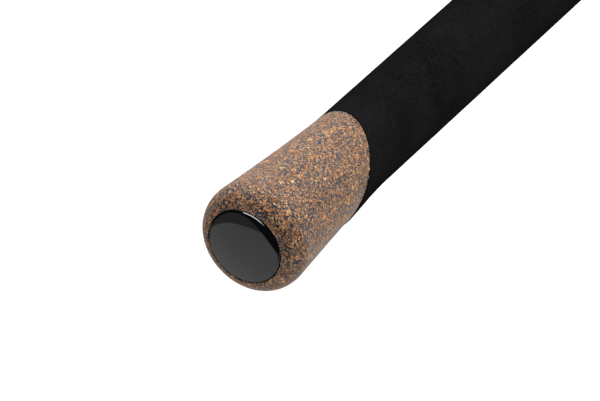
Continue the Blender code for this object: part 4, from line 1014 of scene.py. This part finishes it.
def whipping_mesh(start, end, foot_end, blank, half_width, thickness):
    """Whipping from its open end at start, over the foot to foot_end, and on to its tail at end."""
    way = 1 if end > start else -1
    outside = blank + FOOT_GAP + THREAD_WALL
    foot_top = blank + FOOT_GAP + thickness
    over = wrap_outline(outside, foot_top + THREAD_WALL, half_width + THREAD_WALL)
    under = wrap_outline(blank + HUG, foot_top + FOOT_HUG, half_width + FOOT_HUG)
    bare = [outside] * len(over)
    close = [blank + HUG] * len(over)
    ease = WHIP_EASE * way
    slope_end = foot_end + WHIP_SLOPE * way

    def loop(x, share, first, second):
        step = 2 * pi / len(first)
        radii = [between(share, a, b) for a, b in zip(first, second)]
        return [Vector((x, r * sin(i * step), -r * cos(i * step)))
                for i, r in enumerate(radii)]

    return skin([
        loop(start, 0.75, over, under), loop(start + 0.2 * ease, 0.3, over, under),
        loop(start + ease, 0, over, over), loop(foot_end, 0, over, over),
        loop(between(0.3, foot_end, slope_end), 0.2, over, bare),
        loop(between(0.7, foot_end, slope_end), 0.8, over, bare),
        loop(slope_end, 0, bare, bare), loop(end - 2 * ease, 0, bare, bare),
        loop(end - 0.6 * ease, 0.45, bare, close), loop(end, 0, close, close),
        loop(end - 1.2 * ease, 0, close, close), loop(slope_end, 0, close, close),
        loop(foot_end + FOOT_GAP * way, 0, under, under), loop(start, 0, under, under)])


def plain_whipping(node):
    """Whipping on the bare blank, level in the middle and feathered at both ends."""
    start, end = ends(node)
    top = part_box(node)[1].z
    rear, front = blank_radius(start) + HUG, blank_radius(end) + HUG
    profile = [(start + x * MM, between(rise, rear, top)) for x, rise in FEATHER]
    profile += [(end - x * MM, between(rise, front, top)) for x, rise in reversed(FEATHER)]
    return lathe(profile)


whipped = whipping_finish()
for node in ("butt_ferrule_whipping", "tip_ferrule_whipping", "tip_whipping"):
    dress(plain_whipping(node), whipped, node)

# Hook keeper. A small bent-wire ring swings in the eye of a pressed foot, which is whipped to the
# blank in front of the fore grip; the hook hangs in it between casts.

KEEPER_EYE_RADIUS = 1.35 * MM
KEEPER_EYE_BORE = 0.8 * MM
KEEPER_EYE_HALF = 0.8 * MM
KEEPER_EYE_EASE = 0.15  # millimetres
KEEPER_RING_RADIUS = 4.5 * MM
KEEPER_WIRE_RADIUS = 0.4 * MM
KEEPER_FOOT_HALF_WIDTH = 0.8 * MM
KEEPER_FOOT_THICKNESS = 0.5 * MM
FOOT_TOUCH = 0.04 * MM
FOOT_TAPER = (  # shares of the foot's length, width and thickness
    (0, 1, 1), (0.45, 1, 1), (0.8, 0.75, 0.7), (1, 0.45, 0.35),
)
FOOT_EASE = (0.15, 0.3)  # shares of the width and the thickness that its long edges lose
keeper_low, keeper_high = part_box("keeper_foot")
KEEPER_X = keeper_low.x + KEEPER_EYE_RADIUS
KEEPER_Z = keeper_low.z + KEEPER_EYE_RADIUS
FRAME_BLACK = (0.03, 0.03, 0.033, 1.0)
FRAME_WORN = (0.09, 0.09, 0.095, 1.0)


def bent_wire(centre_of, section_of, steps, closed, sides=12):
    """Tube along centre_of(share); section_of(share) gives its two half-thickness vectors."""
    loops = []
    for step in range(steps if closed else steps + 1):
        middle = centre_of(step / steps)
        out, across = section_of(step / steps)
        loops.append([middle + out * cos(t) + across * sin(t) for t in turns_round(sides)])
    return skin(loops, closed)


def keeper_ring_mesh():
    def outward(share):
        turn = 2 * pi * share
        return Vector((0, sin(turn), cos(turn)))

    def centre(share):
        return outward(share) * KEEPER_RING_RADIUS - Vector((0, 0, KEEPER_RING_RADIUS))

    def section(share):
        return outward(share) * KEEPER_WIRE_RADIUS, Vector((KEEPER_WIRE_RADIUS, 0, 0))

    return shifted(bent_wire(centre, section, 72, closed=True), KEEPER_X, 0, KEEPER_Z)


def foot_mesh(start, end, level, half_width, thickness):
    """Pressed foot that narrows and thins to a blunt point, eased along its edges."""
    loops = []
    for share, width, depth in FOOT_TAPER:
        x = between(share, start, end)
        side, low = half_width * width, level - thickness * depth
        eased_side, eased_low = side - FOOT_EASE[0] * half_width, between(FOOT_EASE[1], low, level)
        loops.append([Vector((x, y, z)) for y, z in (
            (-side, level), (side, level), (side, eased_low), (eased_side, low),
            (-eased_side, low), (-side, eased_low))])
    return skin(loops, closed=False)


def keeper_foot_mesh():
    profile = []
    for radius, way in ((KEEPER_EYE_RADIUS, 1), (KEEPER_EYE_BORE, -1)):
        edge = ((0, way * KEEPER_EYE_EASE), (KEEPER_EYE_EASE, 0))
        across = eased(-KEEPER_EYE_HALF, 1, radius, edge)
        across += eased(KEEPER_EYE_HALF, -1, radius, edge)
        profile += across[::way]
    eye = lathe(profile, sides=48)
    eye.transform(Matrix.Rotation(pi / 2, 4, "Z"))
    seat = -blank_radius(KEEPER_X) - FOOT_TOUCH
    foot = foot_mesh(KEEPER_X, keeper_high.x, seat, KEEPER_FOOT_HALF_WIDTH,
                     KEEPER_FOOT_THICKNESS + seat - keeper_high.z)
    return combined("UNION", shifted(eye, KEEPER_X, 0, KEEPER_Z), foot)


# Pressed steel under a thin black coat that has gone a little shiny where it is handled.
coated_steel = grained_finish("coated_frame", (FRAME_BLACK, FRAME_WORN),
                              clouds=(0.8, 4.0, 0.7), cloud_range=(0.5, 0.75),
                              texture=(8.0, 3.0), gloss=(0.22, 0.36), relief=METAL_RELIEF,
                              Metallic=1.0)
dress(keeper_foot_mesh(), coated_steel, "keeper_foot")
dress(keeper_ring_mesh(), gunmetal, "keeper_ring", crisp=60)
whip_start, whip_end = ends("keeper_whipping")
dress(whipping_mesh(whip_start, whip_end, keeper_high.x, blank_radius(whip_start),
                    KEEPER_FOOT_HALF_WIDTH, KEEPER_FOOT_THICKNESS), whipped, "keeper_whipping")

# Guides. Each has a pressed steel frame with legs that rise from its foot to a round rim, in
# which a polished ceramic ring is held; the first one has a second foot in front.

CERAMIC_GREY = (0.05, 0.052, 0.056, 1.0)
CERAMIC_LIGHT = (0.085, 0.087, 0.092, 1.0)
GUIDES = (  # ring diameter, clear height over the blank and foot length, in millimetres, and feet
    (16, 14, 16, 2), (12, 10.5, 14, 1), (10, 8.0, 12, 1), (8, 6.5, 11, 1), (8, 6.0, 11, 1),
    (7, 5.5, 10, 1), (6, 4.8, 10, 1), (6, 4.5, 9, 1), (5.5, 4.2, 9, 1),
)
Gauge = namedtuple("Gauge", "rim wall foot_thickness foot_half_width width")
HEAVY_GAUGE = Gauge(0.9 * MM, 1.0 * MM, 0.8 * MM, 1.3 * MM, 2.0 * MM)
LIGHT_GAUGE = Gauge(0.5 * MM, 0.6 * MM, 0.5 * MM, 0.8 * MM, 1.3 * MM)
HEAVY_RING = 11 * MM  # a larger ring has the heavy gauge
LEG_REACH = 0.6  # share of the guide's height
LEG_ANGLE = radians(50)
LEG_SPREAD = 0.25 * MM
LEG_BOW = 0.1  # share of the way from the middle to a leg's top
LEG_WIDTHS = (0.8, 0.37)  # half a leg along and across, as shares of its rim's thickness
LEG_SUNK = 0.45  # share of the foot's thickness, from its underside to the legs' ends
RIM_CROWN = 0.6  # shares of the rim's thickness, for its crown and for the legs' hold
RIM_HOLD = 0.4
THROAT = (0.45, 0.55)  # shares of the ceramic's wall, at its sides and added in the middle
CERAMIC_INSET = 0.1 * MM
FOOT_BARE = 2.5 * MM
TAIL = 3 * MM


def rim_mesh(diameter, gauge):
    """Rolled rim, crowned outside and straight inside."""
    outer, half = diameter / 2, gauge.width / 2
    profile = [(-half, outer - gauge.rim)]
    for step in range(9):
        x = between(step / 8, -half, half)
        profile.append((x, outer - RIM_CROWN * gauge.rim * (x / half) ** 4))
    return lathe(profile + [(half, outer - gauge.rim)])


def ceramic_mesh(diameter, gauge):
    """Ring with a half-round throat."""
    outer = diameter / 2 - gauge.rim - FOOT_GAP
    half = gauge.width / 2 - CERAMIC_INSET
    profile = [(half, outer)]
    for step in range(11):
        turn = pi * step / 10
        throat = gauge.wall * (THROAT[0] + THROAT[1] * sin(turn))
        profile.append((half * cos(turn), outer - throat))
    return lathe(profile + [(-half, outer)])


def leg_mesh(top, foot, bow, half_along, half_across, steps=14):
    """Flattened wire from the rim down to the foot, bowed out on the way."""
    across = (foot - top).cross(Vector((1, 0, 0))).normalized()
    along = across.cross((foot - top).normalized())
    section = along * half_along, across * half_across
    return bent_wire(lambda share: top.lerp(foot, share) + bow * 4 * share * (1 - share),
                     lambda share: section, steps, closed=False, sides=16)


def leg_pair(diameter, gauge, centre, angle, foot, widths, bow=0.0):
    """Two legs, from an angle to either side of the rim's top down to their feet."""
    root = diameter / 2 - RIM_HOLD * gauge.rim
    legs = []
    for side in (-1, 1):
        top = Vector((0, side * root * sin(angle), centre + root * cos(angle)))
        end = Vector((foot[0], side * foot[1], foot[2]))
        legs.append(leg_mesh(top, end, Vector((0, bow * top.y, 0)), *widths))
    return legs


def guide_frame_mesh(x, diameter, height, foot_length, feet, gauge):
    """Frame at its place on the rod, and the height of its ring's middle."""
    blank = blank_radius(x - height)
    seat = -(blank + FOOT_TOUCH)
    depth = gauge.foot_thickness + FOOT_GAP - FOOT_TOUCH
    centre = -(blank + height + diameter / 2)
    reach = LEG_REACH * height
    sunk = seat - depth + LEG_SUNK * gauge.foot_thickness
    half_width = gauge.foot_half_width
    widths = [share * gauge.rim for share in LEG_WIDTHS]
    pieces = [foot_mesh(-reach, -reach - foot_length, seat, half_width, depth)]
    pieces += leg_pair(diameter, gauge, centre, LEG_ANGLE,
                       (-reach - half_width, LEG_SPREAD, sunk), widths, LEG_BOW)
    if feet == 2:
        pieces.append(foot_mesh(reach, reach + foot_length, seat, half_width, depth))
        top = Vector((0, 0, centre + diameter / 2 - RIM_HOLD * gauge.rim))
        foot = Vector((reach + half_width, 0, sunk))
        pieces.append(leg_mesh(top, foot, Vector(), *widths))
    mesh = combined("UNION", shifted(rim_mesh(diameter, gauge), z=centre), *pieces)
    return shifted(mesh, x), centre


# Polished grey ceramic, faintly mottled.
mottle = (1.5, 4.0)
ceramic = grained_finish("polished_ceramic", (CERAMIC_GREY, CERAMIC_LIGHT), clouds=mottle,
                         cloud_range=(0.35, 0.65), texture=mottle, gloss=(0.07, 0.16), IOR=1.75)
for number, (*lengths, feet) in enumerate(GUIDES, 1):
    name = "guide_%d" % number
    diameter, height, foot_length = (length * MM for length in lengths)
    gauge = HEAVY_GAUGE if diameter > HEAVY_RING else LIGHT_GAUGE
    ring_start, ring_end = ends(name + "_ring")
    x = (ring_start + ring_end) / 2
    mesh, centre = guide_frame_mesh(x, diameter, height, foot_length, feet, gauge)
    dress(mesh, coated_steel, name + "_frame")
    dress(shifted(ceramic_mesh(diameter, gauge), x, 0, centre), ceramic, name + "_ring", crisp=50)
    bare = LEG_REACH * height + FOOT_BARE
    foot_end = LEG_REACH * height + foot_length
    wraps = [(-1, "_rear_whipping"), (1, "_front_whipping")] if feet == 2 else [(-1, "_whipping")]
    for way, suffix in wraps:
        thinnest = x + way * (foot_end + TAIL if way < 0 else bare)
        mesh = whipping_mesh(x + way * bare, x + way * (foot_end + TAIL), x + way * foot_end,
                             blank_radius(thinnest), gauge.foot_half_width, gauge.foot_thickness)
        dress(mesh, whipped, name + suffix)

# Tip guide. A thin tube over the end of the blank carries the last ring on its nose and two
# braces, glued on and whipped behind.

TIP_RING_DIAMETER = 5.5 * MM
TIP_TUBE_BORE = TIP_RADIUS + BORE_GAP
TIP_TUBE_WALL = 0.4 * MM
TIP_TUBE_RADIUS = TIP_TUBE_BORE + TIP_TUBE_WALL
TIP_NOSE_LENGTH = 2.0 * MM
TIP_TUBE_LENGTH = 11 * MM
TIP_TUBE_EDGE = ((0, 0.1), (0.2, 0))
BRACE_X = -7.5 * MM
BRACE_TOP = radians(75)
BRACE_FOOT = radians(50)
BRACE_WIDTHS = (0.25 * MM, 0.2 * MM)
TIP_NOSE = ((-0.2, 0), (0.5, 0.35), (1.3, 0.9))  # mm past the tube's end and below its surface
TIP_NOSE_END = 0.45 * MM
SOLDER_DEPTH = 0.15 * MM


def tip_guide_mesh(x, gauge):
    """Tip guide's frame at its place on the rod, and the height of its ring's middle."""
    centre = -(TIP_RING_DIAMETER / 2 - gauge.rim / 2)
    tube_end = -gauge.width / 2 - TIP_NOSE_LENGTH
    start = tube_end - TIP_TUBE_LENGTH
    profile = [(tube_end - TIP_TUBE_WALL, TIP_TUBE_BORE), (start, TIP_TUBE_BORE)]
    profile += eased(start, 1, TIP_TUBE_RADIUS, TIP_TUBE_EDGE)
    profile += [(tube_end + x * MM, TIP_TUBE_RADIUS - depth * MM) for x, depth in TIP_NOSE]
    profile += [(SOLDER_DEPTH - gauge.width / 2, TIP_NOSE_END)]
    pieces = [lathe(profile, sides=32, closed=False)]
    hold = TIP_TUBE_RADIUS - SOLDER_DEPTH
    foot = (BRACE_X, hold * sin(BRACE_FOOT), -hold * cos(BRACE_FOOT))
    pieces += leg_pair(TIP_RING_DIAMETER, gauge, centre, BRACE_TOP, foot, BRACE_WIDTHS)
    mesh = combined("UNION", shifted(rim_mesh(TIP_RING_DIAMETER, gauge), z=centre), *pieces)
    return shifted(mesh, x), centre


tip_start, tip_end = ends("tip_guide_ring")
tip_x = (tip_start + tip_end) / 2
tip_mesh, tip_centre = tip_guide_mesh(tip_x, LIGHT_GAUGE)
dress(tip_mesh, coated_steel, "tip_guide_frame")
dress(shifted(ceramic_mesh(TIP_RING_DIAMETER, LIGHT_GAUGE), tip_x, 0, tip_centre), ceramic,
      "tip_guide_ring", crisp=50)

# Studio. A pale floor well below the rod and two long soft boxes over it, which end at the butt.
# Dark and bright cards round the butt, which show in reflections only, are for the badge.

FLOOR_DROP = 0.26
FLOOR_RADIUS = 9.0
FLOOR_SIDES = 96
FLOOR_WHITE = (0.50, 0.50, 0.50, 1.0)
FLOOR_GLOW = 0.75
AMBIENT = 0.38
WHITE = (1, 1, 1, 1)
ROD_MIDDLE = (solid_box[0][0] + solid_box[1][0]) / 2


def seen_directly(tree):
    """1 where a surface is seen by the camera, in a gloss or through glass, and 0 elsewhere."""
    ray = add(tree, "ShaderNodeLightPath", {})
    seen = sums(tree, "MAXIMUM", ray["Is Camera Ray"], ray["Is Glossy Ray"])
    return sums(tree, "MAXIMUM", seen, ray["Is Transmission Ray"])


def floor_finish():
    finish, tree, shader = new_finish("pale_floor")
    glow = sums(tree, "MULTIPLY", seen_directly(tree), FLOOR_GLOW)
    feed(tree, shader, {"Base Color": FLOOR_WHITE, "Roughness": 0.9, "Specular IOR Level": 0.0,
                        "Emission Color": WHITE, "Emission Strength": glow})
    return finish


def card_finish(name, brightness):
    finish, tree, shader = new_finish(name)
    feed(tree, shader, {"Base Color": (0, 0, 0, 1), "Specular IOR Level": 0.0,
                        "Emission Color": WHITE, "Emission Strength": brightness})
    return finish


def stage_piece(name, points, faces, finish):
    mesh = bpy.data.meshes.new(name)
    mesh.from_pydata(points, [], faces)
    mesh.materials.append(finish)
    item = placed(name, mesh)
    return item


floor_points = [(ROD_MIDDLE + FLOOR_RADIUS * cos(t), FLOOR_RADIUS * sin(t), -FLOOR_DROP)
                for t in turns_round(FLOOR_SIDES)]
stage_piece("floor", floor_points, [list(range(FLOOR_SIDES))], floor_finish())

world = bpy.data.worlds.new("studio")
world.use_nodes = True
bpy.context.scene.world = world
air = world.node_tree
feed(air, air.nodes["Background"],
     {"Color": WHITE, "Strength": levels(air, seen_directly(air), 0, 1, AMBIENT, 1.0)})


def mirrored_card(name, span, low_edge, high_edge, brightness, reach, columns=48, rows=8):
    """Bent card round the butt that shows only in what mirrors it.

    It spans two azimuths, counted from -X towards +Y, and each edge gives its elevation at an
    azimuth. All of them are in degrees.
    """
    points = []
    for column in range(columns + 1):
        azimuth = between(column / columns, *span)
        side = radians(azimuth)
        for row in range(rows + 1):
            lift = radians(between(row / rows, low_edge(azimuth), high_edge(azimuth)))
            points.append(Vector((-cos(side) * cos(lift), sin(side) * cos(lift),
                                  sin(lift))) * reach)
    starts = [column * (rows + 1) + row for column in range(columns) for row in range(rows)]
    faces = [(start, start + 1, start + rows + 2, start + rows + 1) for start in starts]
    card = stage_piece(name, points, faces, card_finish(name, brightness))
    for ray in ("camera", "diffuse", "transmission", "shadow"):
        setattr(card, "visible_" + ray, False)


ARCH_FOOT = (19, -37)  # azimuth and elevation, in degrees
ARCH_TOP = (37, -2)
ARCH_POWER = 2.6
ARCH_SAG = 0.022
ARCH_LOWEST = -7
CARDS_START = -120
CARDS_END = 80
CARDS_TOP = 60
CARDS_REACH = 0.4
BLACK_GLOW = 0.03
WALL_START = 21
WALL_TOP = 5
WALL_CROWN = (42, -7.2)
WALL_SAG = 0.0165
WALL_LOWEST = -14.5
STRIP_START = (16.2, -9.4, -4)  # azimuth and both elevations
STRIP_END = (27.2, -0.3, 8)


def arched_edge(azimuth):
    """Lower edge of the black card: it rises steeply to its top and sags away beyond it."""
    if azimuth < ARCH_FOOT[0]:
        return ARCH_FOOT[1]
    if azimuth < ARCH_TOP[0]:
        reach = (ARCH_TOP[0] - azimuth) / (ARCH_TOP[0] - ARCH_FOOT[0])
        rise = (1 - reach**ARCH_POWER) ** (1 / ARCH_POWER)
        return between(rise, ARCH_FOOT[1], ARCH_TOP[1])
    return max(ARCH_LOWEST, ARCH_TOP[1] - ARCH_SAG * (azimuth - ARCH_TOP[0]) ** 2)


def wall_edge(azimuth):
    """Lower edge of the grey wall, bowed up in the middle."""
    return max(WALL_LOWEST, WALL_CROWN[1] - WALL_SAG * (azimuth - WALL_CROWN[0]) ** 2)


def strip_share(azimuth):
    return (azimuth - STRIP_START[0]) / (STRIP_END[0] - STRIP_START[0])


def strip_low(azimuth):
    """Lower edge of the bright strip, bowed up by a degree."""
    share = strip_share(azimuth)
    return between(share, STRIP_START[1], STRIP_END[1]) + 4 * share * (1 - share)


def strip_high(azimuth):
    return between(strip_share(azimuth), STRIP_START[2], STRIP_END[2])


mirrored_card("black_card_side", (CARDS_START, ARCH_FOOT[0]), arched_edge,
              lambda azimuth: CARDS_TOP, BLACK_GLOW, CARDS_REACH)
mirrored_card("black_card", (ARCH_FOOT[0], CARDS_END), arched_edge, lambda azimuth: CARDS_TOP,
              BLACK_GLOW, CARDS_REACH, columns=120)
mirrored_card("grey_wall", (WALL_START, CARDS_END), wall_edge, lambda azimuth: WALL_TOP,
              brightness=0.36, reach=0.42)
mirrored_card("bright_strip", (STRIP_START[0], STRIP_END[0]), strip_low, strip_high,
              brightness=16.0, reach=0.38, columns=12)

BOX_X = ROD_MIDDLE + 0.1  # so that the boxes end at the butt
BOX_SIZE = (3.2, 1.0)
SOFT_BOXES = (("key_box", 0.45, 2.15, 27), ("fill_box", -1.7, 1.3, 39.5))  # y, z and watts

for name, y, z, watts in SOFT_BOXES:
    lamp = bpy.data.lights.new(name, "AREA")
    lamp.shape = "RECTANGLE"
    lamp.size, lamp.size_y = BOX_SIZE
    lamp.energy = watts
    box = placed(name, lamp)
    box.location = (BOX_X, y, z)
    aim = Vector((BOX_X, 0, 0)) - box.location
    box.rotation_euler = aim.to_track_quat("-Z", "Y").to_euler()

# Camera. A long lens looks down at the butt end from the side, rolled so that the rod runs up
# across the picture; the picture's size, 600 wide and 401 high, is not set here.

VIEW_FROM = Vector((-914.4, -748.8, 404.4)) * MM
VIEW_AZIMUTH = radians(-51.494)
VIEW_ELEVATION = radians(18.617)
VIEW_ROLL = radians(-20.320)
VIEW_LENS = 312.0

camera = bpy.data.cameras.new("camera")
camera.lens = VIEW_LENS
camera.sensor_width = 36
camera.clip_end = 30
camera_stand = placed("camera", camera)
tilt = Matrix.Rotation(pi / 2 - VIEW_ELEVATION, 4, "X")
camera_stand.matrix_world = (Matrix.Translation(VIEW_FROM) @ Matrix.Rotation(VIEW_AZIMUTH, 4, "Z")
                             @ tilt @ Matrix.Rotation(VIEW_ROLL, 4, "Z"))
bpy.context.scene.camera = camera_stand
bpy.context.scene.view_settings.view_transform = "Standard"
